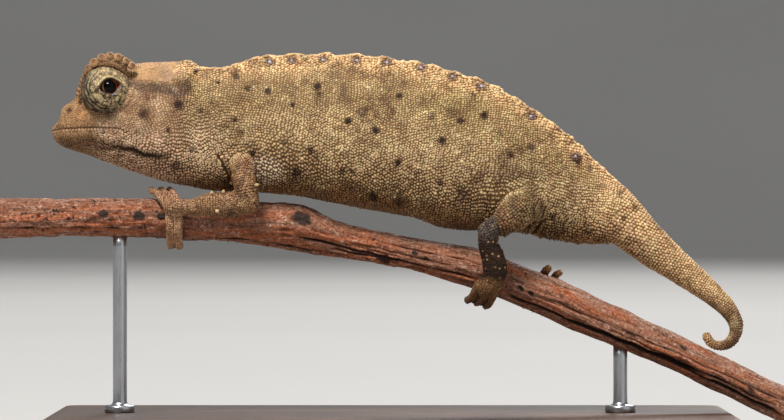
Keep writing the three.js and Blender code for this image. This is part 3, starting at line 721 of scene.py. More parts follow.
darkSpots = [  # x, z, radius and strength
    (-6.31, 30.85, 0.3, 1), (-6.12, 30.17, 0.2, 0.6), (-8.35, 29.27, 0.22, 0.7),
    (-3.68, 27.89, 0.28, 0.8), (-1.39, 27.06, 0.33, 1), (0.65, 30.04, 0.25, 0.8), (4.17, 26.21, 0.38, 1),
    (0.51, 24.34, 0.33, 1), (-6.81, 25.45, 0.3, 0.6), (-8.07, 23.64, 0.42, 0.55), (5.8, 27.89, 0.25, 0.7),
    (-13.26, 27.92, 0.25, 0.8), (-12.72, 26.98, 0.3, 0.35), (-11.73, 25.21, 0.24, 0.9),
    (-12.17, 30.6, 0.3, 0.6), (-10.5, 30.41, 0.28, 0.65), (-14.76, 31.21, 0.15, 0.8),
    (-13.26, 31.84, 0.42, 0.5), (-16.66, 32.08, 0.2, 0.85), (-4.22, 23.67, 0.3, 0.45),
    (-3.31, 23.64, 0.24, 0.45), (-1.61, 21.56, 0.4, 0.6), (4, 22.64, 0.3, 0.55), (0.65, 21.05, 0.4, 0.5),
    (0.11, 28.73, 0.25, 0.35), (3.36, 28.28, 0.32, 0.4), (-9.1, 26.08, 0.26, 0.35),
    (5.89, 21.96, 0.3, 0.4), (-2.51, 28.64, 0.5, 0.3), (-16.91, 25.52, 0.33, 0.45),
    (-17.34, 30.81, 0.5, 0.35), (7.79, 28.4, 0.3, 0.9), (12.28, 27.24, 0.1, 1), (10, 25.02, 0.33, 0.7),
    (11.76, 25.67, 0.35, 0.55), (15.7, 24.71, 0.42, 1), (13.6, 19.8, 0.25, 0.6), (19.55, 19.72, 0.2, 0.5),
    (6.89, 30.17, 0.25, 0.4), (-18.02, 29.24, 0.42, 0.65), (-20.85, 28.5, 0.5, 0.5),
    (-19.68, 28.92, 0.08, 1), (-18.84, 27.14, 0.25, 0.65), (-21.57, 27.03, 0.15, 0.7),
    (-18.31, 24.17, 0.4, 0.5), (-16.17, 28.81, 0.2, 0.4), (-15.3, 29.51, 0.3, 0.3),
    (-19.85, 31.89, 0.08, 0.9), (-18.53, 31.83, 0.08, 0.8), (-21.76, 32, 0.09, 0.9),
    (13.52, 26.63, 0.3, 0.3), (16.83, 23.97, 0.3, 0.35), (19.3, 21.84, 0.3, 0.35),
    (20.49, 20.57, 0.3, 0.35),
]
pearls = [(-10.37, 32.95), (-8.51, 33.03), (-5.85, 33.12), (-3, 33.07), (-0.43, 32.89),
          (2.46, 32.44), (5.13, 31.71), (7.59, 30.89), (11.76, 28.32), (15.55, 24.95)]
spikes = [(-15.8, 21.82), (-15.17, 21.76), (-14.2, 21.85), (-13.72, 22.8), (-14.31, 24.88), (-11.5, 22.46),
          (-14.7, 20.34)]
# Back and belly in the side view, from the lip to the tip of the tail
backLine = np.vstack([bodyStations[:-2, :2], [
    (19.38, 22.78), (21.93, 19.97), (24.48, 17.17), (26.18, 15.64), (27.88, 13.94), (29.5, 12.0)]])
bellyLine = np.vstack([bodyStations[:-1, 2:4], [
    (19.4, 17.08), (21.93, 15.3), (24.48, 13.77), (26.18, 12.75), (29.5, 9.0)]])


def toward(colours, shade, mask):
    # Colours moved by the mask's share, 0 to 1, of the way to a shade; its name will do
    shade = shades[shade] if isinstance(shade, str) else shade
    return colours + (shade - colours) * np.clip(mask, 0, 1)[:, None]


def painted(colours, *layers):
    # Shades laid one over another, each by its own mask
    for shade, mask in layers:
        colours = toward(colours, shade, mask)
    return colours


def oval(points, middle, half, edge, rough=0):
    # 1 inside an oval of the side view and 0 outside, eased between two shares of its half sizes
    away = np.hypot((points[:, 0] - middle[0]) / half[0], (points[:, 2] - middle[1]) / half[1])
    return easeDown(away + rough, *edge)


def heightShare(points):
    # 0 on the belly line and 1 on the back line, in the side view
    low = np.interp(points[:, 0], *bellyLine.T)
    high = np.interp(points[:, 0], *backLine.T)
    return (points[:, 2] - low) / (high - low)


def bandTones(points, up, mottle):
    # Brown belly, pale lower flank, olive-brown flank and tan crest, olive patches, and the tail
    x, _, z = points.T
    colours = np.tile(shades["belly"], (len(points), 1))
    for name, low, high in bands:
        colours = toward(colours, name, easeStep(up, low, high))
    for name, middle, half, edge, strength in patches:
        colours = toward(colours, name, oval(points, middle, half, edge) * strength)
    above = oval(points, (-13.2, 26.3), (2.3, 1.7), (0.3, 1.2)) * easeStep(mottle, -0.5, 0.5)
    colours = toward(colours, "olivePatch", above * 0.7)
    colours = toward(colours, "tail", easeStep(x, 15.5, 19) * 0.85)
    return toward(colours, "tailTip", easeStep(x, 26.5, 28.5) * easeDown(z, 11.0, 13.5) * 0.9)


def headTones(points, colours, up, mottle):
    # Cheek, throat, muzzle, painted shade in the nostril, and casque, then the dark stripe behind the eye
    x, y, z = points.T
    head, casque = easeDown(x, -19.5, -15.5), onCasque(points)
    overEye = 0.8 * easeStep(z, 31.2, 31.6) * (x < -20)
    rearCasque = casque * easeStep(x, -20.4, -18.9) * easeStep(0.4 - mottle, 0, 0.7)
    nape = oval(points, (-17.75, 31.7), (0.75, 0.9), (0.5, 1.2), 0.3 * mottle)
    seam, _ = lineDistance(points, napeSeam)
    away, along = lineDistance(points, eyeStripe)
    stripe = easeDown(away + 0.22 * mottle, 0.1, 0.75) * easeDown(along, 0.75, 1) * (np.abs(y) > 0.8)
    return painted(
        colours,
        ("cheek", head * easeDown(up, 0.72, 0.9) * 0.85),
        ("throat", head * easeDown(up, 0.25, 0.5) * 0.9),
        ("muzzle", easeDown(x, -25.6, -24.2)),
        ("orange", oval(points, (-26.6, 28.4), (0.8, 0.55), (0.5, 1.4)) * 0.6),
        # Painted shade in the nostril's pit
        ("stripe", oval(points, nostrilPlace, (1, 1), (0.1, 0.55)) * 0.65),
        ("casque", np.maximum(casque, overEye)),
        ("lilac", rearCasque * 0.35),
        ("umber", nape * 0.45),
        ("umber", easeDown(seam, 0.02, 0.09) * 0.7),
        ("stripe", stripe * easeStep(mottle, -1.2, 0.2) * 0.95),
        ("lilac", stripe * easeStep(cloud(points, 0.35, 19), 0.15, 0.5) * 0.5),
    )


def mouthTones(points, colours):
    # Painted shade in the fold of the throat, deeper towards its rear, the lower lip, and painted shade along
    # the line of the mouth
    x, _, z = points.T
    away, along = lineDistance(points, gularLine)
    deep = easeStep(along, 0.35, 0.65)
    soft = easeDown(away, 0.1, lerp(0.75, 0.45, deep)) * (z < 26.9)
    lip, _ = lineDistance(points, mouthLine)
    below = np.interp(x, *np.transpose(mouthLine)) - z
    jaw = easeStep(below, 0.0, 0.1) * easeDown(below, 0.35, 0.75) * (x < -22.3)
    lilac = easeStep(cloud(points, 0.5, 20), 0.25, 0.6) * easeStep(below, 0.0, 0.15)
    return painted(
        colours,
        # Painted shade in the throat's fold, darkest towards its rear
        (lerp(shades["umber"], shades["furrow"], 0.6 * deep[:, None]), soft * lerp(0.5, 0.9, deep)),
        ("cheek", jaw * 0.6),
        ("lilac", lilac * easeDown(below, 0.45, 0.7) * (x < -22.3) * 0.6),
        # Painted shade along the mouth line
        ("furrow", easeDown(lip, 0.03, 0.1) * 0.6),
    )


def blotchTones(points, colours, mottle):
    # Dirt and pinkish scurf on the head, then umber and straw blotches over the whole trunk
    x, _, z = points.T
    head, bare = easeDown(x, -19.5, -15.5), 1 - onCasque(points)
    dirt = easeStep(cloud(points, 0.5, 23) + 0.5 * cloud(points, 0.25, 24), 0.15, 0.8) * bare
    pinkish = easeStep(cloud(points, 0.7, 25) + 0.4 * cloud(points, 0.3, 26), 0.1, 0.7) * bare
    underEye = oval(points, (-22.3, 29.0), (1.1, 0.7), (0.4, 1.2), 0.3 * mottle)
    patch = 0.8 * cloud(points, 1.2, 16) + 0.75 * cloud(points, 0.55, 17)
    behind = easeStep(x, -20, -14)
    return painted(
        colours,
        ("umber", dirt * head * 0.7),
        ("whitish", pinkish * (x > -25.5) * head * 0.4),
        ("umber", underEye * 0.45 * (z < 30)),
        ("umber", easeStep(patch, 0.12, 0.75) * lerp(0.4, 0.55, behind)),
        ("straw", easeStep(-patch, 0.15, 0.8) * 0.5 * behind),
    )


def shoulderTones(points, colours, mottle):
    # Pale chest, whitish skin behind the arm and the redder root of the arm
    return painted(
        colours,
        ("whitish", oval(points, (-15.8, 25.2), (2.4, 2.8), (0.5, 1.2)) * 0.65),
        ("armpit", oval(points, (-10.5, 23.7), (1.5, 1.3), (0.4, 1.2), 0.2 * mottle) * 0.9),
        ("armRoot", oval(points, (-12.5, 24.2), (0.8, 0.9), (0.5, 1.3)) * 0.55),
    )


def spotTones(points, colours):
    # Dark spots in umber rings, and lilac marks round the pearls along the back
    x, y, z = points.T
    lean = 0.5 * (y > 0)  # the right side's spots stand a little further back
    for spotX, spotZ, size, strength in darkSpots:
        strength = min(1, 1.35 * strength)
        away = np.hypot(x - spotX - lean, z - spotZ + lean * 0.4) + 0.1 * cloud(points, 0.4, 15)
        colours = toward(colours, "umber", easeDown(away, size * 0.6, size * 1.7) * 0.7 * strength)
        colours = toward(colours, "spot", easeDown(away, size * 0.5, size * 1.25) * strength)
    for spotX, spotZ in pearls:
        away = np.hypot((x - spotX) * 0.7, z - spotZ) + 0.08 * cloud(points, 0.3, 18)
        colours = toward(colours, "umber", easeDown(away, 0.25, 0.5) * 0.7)
        colours = toward(colours, "lilac", easeDown(away, 0.12, 0.34) * 0.9)
    return colours


def trunkColours(points):
    # Colour of head, trunk and tail: each layer of tones laid over the one before, and the whole
    # times 1 + 0.16 noise, a little more in blue than in red
    up = heightShare(points) + 0.05 * cloud(points, 2.2, 11)
    mottle = cloud(points, 1.5, 12) + 0.6 * cloud(points, 0.6, 13)
    colours = bandTones(points, up, mottle)
    colours = headTones(points, colours, up, mottle)
    colours = mouthTones(points, colours)
    colours = blotchTones(points, colours, mottle)
    colours = shoulderTones(points, colours, mottle)
    colours = spotTones(points, colours)
    return colours * (1 + 0.16 * mottle[:, None] * (1.0, 1.05, 1.15))


def onCasque(points):
    # 1 on the smooth plates over the back of the skull
    x, _, z = points.T
    ragged = 0.3 * cloud(points, 0.9, 41)
    front = easeStep(x - 0.5 * (z - 31.5), -22.2, -21.6)
    low = easeStep(z + ragged + 0.25 * easeStep(-x, 20.0, 22.0), 31.0, 31.3)
    return low * easeDown(x + ragged - 0.3 * (z - 31.5), -18.7, -18.1) * front


# The hands' toes under the branch get the paler toe shade, painted light against the shade they lie in
limbShades = {"frontUpper": "arm", "frontLower": "arm", "frontPalm": "hand", "frontOver": "hand",
              "frontUnder": "toe", "hindUpper": "thigh", "hindLower": "shin", "hindPalm": "foot",
              "hindOver": "foot", "hindUnder": "foot"}


def limbShade(name, points):
    # A leg bone's colour: knees are greyer, the lower hind legs nearly black, which is partly painted shade
    key = name.replace("Left", "").replace("Right", "").rstrip("123")
    colours = np.tile(shades[limbShades[key]], (len(points), 1))
    mottle = cloud(points, 0.8, 21) + 0.5 * cloud(points, 0.35, 22)
    if key in ("frontUpper", "frontLower"):
        dirt = easeStep(cloud(points, 0.7, 27) + 0.6 * cloud(points, 0.3, 28), 0.05, 0.7)
        colours = toward(colours, "umber", dirt * 0.75)
    if key == "hindUpper":
        colours = toward(colours, "knee", easeDown(points[:, 0], 8.2, 9.2))
    # Grey knee at the top of the lower hind leg, and the nearly black shin shade, partly painted shade, over
    # the top of the hind foot
    for bone, shade, low, high in (("hindLower", "knee", 17.4, 18.4), ("hindPalm", "shin", 14.2, 14.9)):
        if key == bone:
            colours = toward(colours, shade, easeStep(points[:, 2], low, high))
    return colours * (1 + 0.16 * mottle[:, None])


def hideColours(points):
    # Trunk colours, giving way to each limb's own where the point lies on that limb
    colours = trunkColours(points)
    for name, tube in limbTubes.items():
        tube = np.asarray(tube)
        near = np.abs(points[:, 0] - tube[:, 0].mean()) < np.ptp(tube[:, 0]) / 2 + 3
        if not near.any():
            continue
        path = pathThrough(tube[:, :3], 24)
        half = splineAt(tube[:, 3:], np.linspace(0, 1, 24))[:, 0]
        chosen = points[near]
        away = np.linalg.norm(chosen[:, None] - path[None], axis=2) - half
        mask = easeDown(away.min(1), 0.1, 0.45)
        share = away.argmin(1) / 23
        if name.endswith("Upper"):
            starts, ends = (0.3, 0.85) if name.startswith("hind") else (0.12, 0.6)
            mask = mask * easeStep(share, starts, ends)
        own = limbShade(name, chosen)
        # Painted light: the tips of the left hand's upper toes, shaded by the throat, and of the right hind
        # foot's far toes, on the shaded far side, are made paler
        if name.startswith(("frontLeftOver", "hindRightOver")):
            paintedLight = 0.35 if "front" in name else 1.2
            own = own * (1 + paintedLight * easeStep(share, 0.4, 0.9)[:, None])
        if name.startswith("front") and "Under" in name:
            own = toward(own, "umber", easeStep(share, 0.75, 1.0) * 0.5)
        colours[near] += (own - colours[near]) * mask[:, None]
    return np.clip(colours, 0, 1)


class Wire:
    # A node's output socket, so that shader maths is written as an expression
    def __init__(self, socket):
        self.socket = socket

    def node(self, kind, settings=None, inputs=None, output=0):
        # A new node of the kind with its settings and inputs, as the wire of one of its outputs
        tree = self.socket.id_data
        made = tree.nodes.new(kind)
        for name, value in (settings or {}).items():
            if name == "stops":
                ramp = made.color_ramp
                while len(ramp.elements) < len(value):
                    ramp.elements.new(0.5)
                for element, (place, shade) in zip(ramp.elements, value):
                    element.position = place
                    element.color = (*shade, 1)
            else:
                setattr(made, name, value)
        for name, value in (inputs or {}).items():
            if isinstance(value, Wire):
                tree.links.new(value.socket, made.inputs[name])
            else:
                made.inputs[name].default_value = value
        return Wire(made.outputs[output])

    def twin(self, output):
        # Another output of the same node
        return Wire(self.socket.node.outputs[output])

    def stored(self, name, output=0):
        # A value stored with the shape's points
        return self.node("ShaderNodeAttribute", {"attribute_name": name}, output=output)

    def math(self, operation, *values):
        # One sum or function of the given values
        return self.node("ShaderNodeMath", {"operation": operation}, dict(enumerate(values)))

    def __add__(self, other):
        return self.math("ADD", self, other)

    __radd__ = __add__

    def __sub__(self, other):
        return self.math("SUBTRACT", self, other)

    def __rsub__(self, other):
        return self.math("SUBTRACT", other, self)

    def __mul__(self, other):
        return self.math("MULTIPLY", self, other)

    __rmul__ = __mul__

    def band(self, low, high, start=0.0, end=1.0):
        # Eased from start to end while the value goes from low to high
        inputs = {"Value": self, "From Min": low, "From Max": high, "To Min": start, "To Max": end}
        return self.node("ShaderNodeMapRange", {"interpolation_type": "SMOOTHSTEP"}, inputs)

    def shaded(self, a, b):
        # Colour a where the mask is 0 and colour b where it is 1
        a, b = (shade if isinstance(shade, Wire) else (*shade, 1) for shade in (a, b))
        return self.node("ShaderNodeMix", {"data_type": "RGBA"}, {0: self, 6: a, 7: b}, 2)

    def times(self, shade):
        # This colour multiplied by a plain one
        settings = {"data_type": "RGBA", "blend_type": "MULTIPLY"}
        return self.node("ShaderNodeMix", settings, {0: 1.0, 6: self, 7: (*shade, 1)}, 2)

    def noise(self, scale, detail=3.0, rough=0.55, warp=0.0):
        # Smooth noise from 0 to 1 at this place
        inputs = {"Vector": self, "Scale": scale, "Detail": detail, "Roughness": rough, "Distortion": warp}
        return self.node("ShaderNodeTexNoise", {}, inputs)

    def stretched(self, x, y, z):
        # This place with each of its three parts multiplied
        return self.node("ShaderNodeVectorMath", {"operation": "MULTIPLY"}, {0: self, 1: (x, y, z)})


def newMaterial(name, **fixed):
    # A plain material with its shader's fixed values set, its shader, and the places on the piece
    material = bpy.data.materials.new(name)
    material.use_nodes = True
    shader = material.node_tree.nodes["Principled BSDF"]
    for socket, value in fixed.items():
        shader.inputs[socket.replace("_", " ")].default_value = value
    places = material.node_tree.nodes.new("ShaderNodeTexCoord").outputs["Object"]
    return material, shader, Wire(places)


def feed(shader, **wires):
    # Links wires to the shader's inputs of the same names
    for socket, wire in wires.items():
        wire.socket.id_data.links.new(wire.socket, shader.inputs[socket.replace("_", " ")])


def raised(height, strength, distance):
    # The surface's direction, tilted as if the height stood out by the distance
    inputs = {"Height": height, "Strength": strength, "Distance": distance}
    return height.node("ShaderNodeBump", {}, inputs)


# groove darkens the foot of each scale with painted shade; tip is a painted highlight at the top of each
# scale
hideLook = dict(groove=(0.44, 0.33, 0.24), tip=(1.3, 1.32, 1.36), dust=(1.18, 1.16, 1.12),
                blotch=(0.62, 0.5, 0.36), rough=(0.5, 0.7))


def hideMaterial():
    # Each scale's colour, with painted shade in the grooves, a painted highlight over its own paler tip, and
    # fine mottling
    material, shader, places = newMaterial("chameleon hide", IOR=1.45, Specular_IOR_Level=0.26)
    colour = places.stored("hide")
    tip = places.stored("hide", 3)
    speck = places.noise(9000, 4)
    blotch = places.noise(1300, 3)
    # Painted shade in the grooves, towards the foot of each scale
    side = tip.band(0.1, 0.8).shaded(colour.times(hideLook["groove"]), colour)
    # Painted highlight at the top of each scale, over its own paler tip
    highlightedTone = tip.band(0.82, 1.0).shaded(side, colour.times(hideLook["tip"]))
    dusty = speck.band(0.5, 0.75, 0.0, 0.6).shaded(highlightedTone, highlightedTone.times(hideLook["dust"]))
    brownish = (blotch.band(0.5, 0.72) * 0.5).shaded(dusty, dusty.times(hideLook["blotch"]))
    rough = speck.band(0.3, 0.7, *hideLook["rough"])
    feed(shader, Base_Color=brownish, Roughness=rough, Normal=raised(speck, 0.3, 0.00004))
    return material


hide = hideMaterial()

# The skin piece carries the eye turrets as fine shells in its sockets
leftTurret = closedShell(turretGrid(128, coatDepth * 0.6))
rightTurret = mirrored(leftTurret)
wholePoints, wholeTriangles = gathered([(skinPoints, skinTriangles), leftTurret, rightTurret])


def turretPlaces(points):
    # Radius and angle about the left eye's line of sight
    away = points - eyeCentre
    rear, up = away @ rearLeft, away @ upLeft
    return np.hypot(rear, up), np.arctan2(up, rear)


def turretTone(points):
    # Olive skin in dark and pale blotches, drawn out round the lids near the rim, with a pale band over the
    # upper lid, grey-green in front, painted shade in the furrows and round the outer rim
    radius, angle = turretPlaces(points)
    share = radius / eye["radius"]
    flat = np.column_stack([radius * np.cos(angle), radius * np.sin(angle), 0 * angle])
    ringed = np.column_stack([np.cos(angle) * 2.1, np.sin(angle) * 2.1, share * 7])
    blotch = 0.7 * cloud(flat, 0.26, 31) + 1.1 * cloud(flat, 0.13, 32)
    streak = cloud(ringed, 0.36, 33) + 0.9 * cloud(ringed, 0.17, 34)
    mottle = lerp(blotch, streak, easeStep(share, 0.6, 0.85))
    low = easeStep(-np.sin(angle), -0.1, 0.5)
    front = bell(wrapped(angle - np.pi), 0.8) * easeStep(share, 0.55, 0.75)
    above = bell(radius - lidEdge(angle) - 0.22, 0.14) * easeStep(np.sin(angle), 0.0, 0.6)
    lowFront = bell(wrapped(angle - furrowSide), 1.15)
    behind = np.clip(bell(wrapped(angle - np.radians(30)), 0.9), 0.25, 0.85)
    colours = painted(
        np.tile(shades["turret"], (len(points), 1)),
        ("turretGrey", front * 0.8),
        ("turretPale", easeStep(mottle, 0.02, 0.5) * lerp(0.9, 0.75, low)),
        ("turretDark", easeStep(-mottle, lerp(0.15, -0.05, low), 0.5) * lerp(0.6, 0.9, low)),
        ("turretPale", above * 0.8),
        ("turretPale", easeStep(share, 0.7, 0.8) * lowFront * easeStep(streak + 0.5, 0.0, 0.8) * 0.6),
    )
    # Painted shade in the furrows low in front
    for place, _, strength in furrows:
        line = bell(share - place, 0.034) * strength * np.clip(lowFront * 1.6, 0, 1)
        colours = toward(colours, "furrow", line)
    for place in (0.93, 0.84, 0.985):
        colours = toward(colours, "turretDark", bell(share - place, 0.012) * behind)
    # Painted shade in the crease where the turret's rim meets the head
    return toward(colours, "furrow", easeStep(share, 0.985, 1.02) * 0.8)


def lidColours(points):
    # Bare skin round the ball: a dark line above, broken bluish white painted highlights below, red-brown
    # behind, painted shade deep in the opening
    radius, angle = turretPlaces(points)
    edge = lidEdge(angle)
    over = easeStep(np.sin(angle - 0.1), -0.25, 0.1)
    flecks = easeStep(cloud(points, 0.17, 35) + 0.12, 0.0, 0.3) * (1 - over)
    frontCorner = bell(wrapped(angle - np.radians(190)), 0.16) * bell(radius - 1.05, 0.35)
    inside, deep = easeStep(edge - radius, -0.02, 0.03), easeStep(edge - radius, 0.08, 0.22)
    return painted(
        turretTone(points),
        ("furrow", bell(radius - edge - 0.04, 0.1) * (0.3 + 0.6 * over)),
        ("turretDark", frontCorner),
        # Painted highlights: bluish white flecks on the wet lower rim
        ("lidPale", bell(radius - edge - 0.09, 0.07) * flecks),
        ("lidRed", inside * (0.25 + 0.75 * bell(angle - 0.5, 0.75))),
        # Painted shade deep in the opening round the ball
        ("furrow", deep * (1 - 0.6 * bell(angle - 0.4, 0.6))),
    )


# Skin between the scales gets the grooves' painted shade and is darker low on the flank, partly painted shade
# under the belly; it shows paler on the head
up = heightShare(skinPoints)
ground = 1 - 0.45 * easeDown(up, 0.05, 0.5) * easeStep(up, -0.12, -0.04)
onHead = easeDown(skinPoints[:, 0], -20, -16) * easeStep(up, 0.22, 0.36)
onHead = onHead * (1 - easeStep(skinPoints[:, 2], 30.9, 31.4) * (skinPoints[:, 0] < -21.9))
shown = np.maximum(0.15 + 0.25 * onHead, 0.8 * onCasque(skinPoints))
skinColours = np.column_stack([hideColours(skinPoints) * ground[:, None], shown])
turretColours = np.column_stack([lidColours(leftTurret[0]), np.full(len(leftTurret[0]), 0.8)])
fleshNodes = [name for name in nodes if not name.startswith(("eyeball", "perch", "stand"))]
wholeColours = np.vstack([skinColours, turretColours, turretColours])
addPiece("skin", wholePoints, wholeTriangles, hide, "skin", fleshNodes, wholeColours)


tree = BVHTree.FromPolygons(skinPoints.tolist(), skinTriangles.tolist())
coatPlan = dict(
    squash=0.88, toe=0.175, limb=0.212, thigh=0.26, brow=0.165, turret=0.135,
    lips=[(0.3, 0.17), (0.27, -0.17)], pearl=0.24, spike=0.32, crest=0.44, crestGap=0.52,
)


def rootTable(at, ahead, pitch, u, v, label, **more):
    # The roots of a group of scales: place, direction of the row, pitch, place on the unrolled
    # skin of its part, and the part's name
    label = np.full(len(at), label, dtype=object)
    return dict(at=at, ahead=ahead, pitch=pitch, u=u, v=v, label=label, **more)


def picked(roots, kept):
    # The roots for which kept is true
    return {key: value[kept] for key, value in roots.items()}


def ringRoots(grid, pitchOf, label, wobble=0.0, loose=0.1):
    # Rings stand a pitch times squash apart along the grid. In each ring the places are spread by
    # the pitch there, and every other ring starts half a place further round
    rows, sides = grid.shape[:2]
    pitch = pitchOf(grid.reshape(-1, 3)).reshape(rows, sides)
    gaps = np.linalg.norm(np.diff(grid, axis=0), axis=2).mean(1)
    rowPitch = 0.5 * (pitch[1:] + pitch[:-1]).mean(1) * coatPlan["squash"]
    run = np.append(0, np.cumsum(gaps / rowPitch))
    found = []
    for k, place in enumerate(np.interp(np.arange(int(run[-1])) + 0.5, run, np.arange(rows))):
        i = min(int(place), rows - 2)
        ring = lerp(grid[i], grid[i + 1], place - i)
        ahead = unit(grid[i + 1] - grid[i])
        closed = np.vstack([ring, ring[:1]])
        local = np.append(pitch[i], pitch[i][0])
        total = np.append(0, np.cumsum(np.linalg.norm(np.diff(closed, axis=0), axis=1) / local[:-1]))
        count = max(3, round(total[-1]))
        order = np.arange(count) + 0.5 * (k % 2) + chance.normal(0, loose, count)
        t = np.interp((order % count) / count * total[-1], total, np.arange(sides + 1))
        j = np.minimum(t.astype(int), sides - 1)
        at = lerp(closed[j], closed[j + 1], (t - j)[:, None])
        at = at + ahead[j] * (chance.normal(0, loose * 1.2, count) * local[j])[:, None]
        found.append(np.column_stack([at, ahead[j], local[j], np.full(count, place / rows), t / sides]))
    table = np.vstack(found)
    at = table[:, :3]
    at = at + wobble * np.column_stack([cloud(at, 1.3, seed) for seed in (71, 72, 73)])
    return rootTable(at, table[:, 3:6], table[:, 6], table[:, 7], table[:, 8], label)


def bodyPitch(points):
    # Scales of head and trunk: large on the lower flank, finer above, finest on the face
    x = points[:, 0]
    up = heightShare(points)
    pitch = lerp(0.28, 0.225, easeStep(up, 0.22, 0.5))
    pitch = lerp(pitch, 0.2, easeStep(up, 0.55, 0.75))
    pitch = lerp(pitch, 0.29, easeStep(up, 0.87, 0.96))
    head = easeDown(x, -20.5, -16)
    pitch = lerp(pitch, lerp(0.28, 0.19, easeStep(up, 0.25, 0.5)), head)
    pitch = lerp(pitch, 0.175, easeDown(x, -26, -24.2))
    return lerp(pitch, 0.4, onCasque(points))


def tailPitch(points):
    # Scales of the tail grow finer towards its tip
    return 0.315 - 0.1 * easeStep(points[:, 0], 20, 29)


def evenPitch(size):
    # The same pitch everywhere
    return lambda points: np.full(len(points), size)


swirls = [  # x, z, radius and angle
    (-12.4, 24.2, 2.8, 0.3), (11.4, 20.6, 2.6, -0.26), (-19.8, 28.2, 0, 0.5),
]


def swirled(roots):
    # Turns the rows about the root of the arm, the hip and the cheek, most at the given radius
    at = roots["at"].copy()
    for centreX, centreZ, ring, angle in swirls:
        x, z = at[:, 0] - centreX, at[:, 2] - centreZ
        turn = angle * bell(np.hypot(x, z) - ring, 2.2) * easeStep(heightShare(at), 0.12, 0.4)
        at[:, 0] = centreX + x * np.cos(turn) - z * np.sin(turn)
        at[:, 2] = centreZ + x * np.sin(turn) + z * np.cos(turn)
    return dict(roots, at=at)


def settled(roots, reach):
    # Moves the roots onto the skin, and drops those further than the reach from it, which lie
    # inside another part
    hits = [tree.find_nearest(Vector(place)) for place in roots["at"]]
    at = np.array([hit[0] for hit in hits])
    corner = skinTriangles[np.array([hit[2] for hit in hits])]
    normal = unit(skinNormals[corner].mean(1))
    kept = np.linalg.norm(at - roots["at"], axis=1) < reach
    return picked(dict(roots, at=at, normal=normal), kept)


def allRoots(groups):
    # Several groups of roots as one
    return {key: np.concatenate([group[key] for group in groups]) for key in groups[0]}


def castRoots(starts, way, pitch, label, marks=None):
    # Single scales where straight lines from the starts first meet the skin; the marks, or x and y
    # of the scale, are its place on the unrolled skin
    found = []
    for k, start in enumerate(starts):
        hit = tree.ray_cast(Vector(start), Vector(way))
        if hit[0] is not None:
            mark = hit[0][:2] if marks is None else marks[k]
            found.append([*hit[0], *skinNormals[skinTriangles[hit[2]]].mean(0), *mark])
    table = np.array(found)
    ahead = np.tile([1.0, 0, 0], (len(table), 1))
    pitch = np.full(len(table), pitch)
    normal = unit(table[:, 3:6])
    return rootTable(table[:, :3], ahead, pitch, table[:, 6], table[:, 7], label, normal=normal)


def onSkin(spots, side, pitch, label):
    # Single scales at spots of the side view, on the skin of one side
    return castRoots([(x, side * 12, z) for x, z in spots], (0, -side, 0), pitch, label, spots)


def crestBeads(side):
    # Round scales in a row along the back, a little to each side of the middle
    table = backLine[(backLine[:, 0] > -16.5) & (backLine[:, 0] < 21)]
    run = pathThrough(np.insert(table, 1, 0, axis=1), 400)[:, 0]
    uneven = 1 + 0.18 * cloud(np.column_stack([run, run * 0, run * 0]), 1.2, 81)
    count = np.cumsum(np.diff(run, prepend=run[0]) / (coatPlan["crestGap"] * uneven))
    want = np.interp(np.arange(0.5 + 0.25 * side, count[-1]), count, run)
    return castRoots([(x, side * 0.24, 50) for x in want], (0, 0, -1), coatPlan["crest"], "crest")


def lineRoots(line, step, lift, side, label):
    # A row of scales beside a line of the side view
    x, _, z = pathThrough(np.insert(np.asarray(line, float), 1, 0, axis=1), 200).T
    run = lengthAlong(np.column_stack([x, z]))
    want = np.arange(step / 2, run[-1], step)
    spots = np.column_stack([np.interp(want, run, x), np.interp(want, run, z) + lift])
    return onSkin(spots, side, step, label)


def browBeads(side):
    # Beads stand side by side along the brow's rim, small in front and large over the eye
    degrees, found = brow["start"] + 4.0, []
    while degrees < brow["end"] + 2:
        size = lerp(*brow["beads"], easeStep(degrees, -62, -26)) - 0.14 * easeStep(degrees, 22, 45)
        found.append((degrees, size))
        degrees += np.degrees(size * 1.02 / (browReach(degrees) - 0.3))
    degrees, size = np.array(found).T
    turn = np.radians(degrees)
    out = np.column_stack([np.sin(turn), np.zeros(len(turn)), np.cos(turn)])
    at = np.array([eye["x"], 0, eye["z"]]) + out * (browReach(degrees) - size * 0.56)[:, None]
    at[:, 1] = side * (browSpread(degrees) + 0.26)
    normal = unit(out + np.array([0, side * 1.3, 0]))
    ahead = np.column_stack([np.cos(turn), np.zeros(len(turn)), -np.sin(turn)])
    return rootTable(at, ahead, size, degrees, degrees * 0, "brow", normal=normal)


single = []
for side in (-1, 1):
    single.append(browBeads(side))
    for step, lift in coatPlan["lips"]:
        single.append(lineRoots(mouthLine[:-1], step, lift, side, "lip"))
    single.append(onSkin(pearls, side, coatPlan["pearl"], "pearl"))
    single.append(onSkin(spikes, side, coatPlan["spike"], "spike"))
    single.append(crestBeads(side))
print("single scales placed")

rings = []
for name, points in limbTubes.items():
    onToe = "Over" in name or "Under" in name
    onThigh = name.startswith("hind") and name.endswith("Upper")
    pitch = coatPlan["toe" if onToe else "thigh" if onThigh else "limb"]
    found = ringRoots(tubeGrid(points, 60, 40), evenPitch(pitch), name, 0.16)
    rings.append(settled(found, 0.25 if onToe else 0.3))
for name, side in (("browLeft", 1), ("browRight", -1)):
    found = ringRoots(browGrid(90, 40) * (1, side, 1), evenPitch(coatPlan["brow"]), name)
    rings.append(settled(found, 0.35))
for name, grid, pitchOf, wobble, loose, reach in (
    ("body", bodyGrid(300, 120), bodyPitch, 0.16, 0.11, 0.5),
    ("tail", tailGrid(260, 60), tailPitch, 0.05, 0.06, 0.3),
):
    rings.append(settled(swirled(ringRoots(grid, pitchOf, name, wobble, loose)), reach))

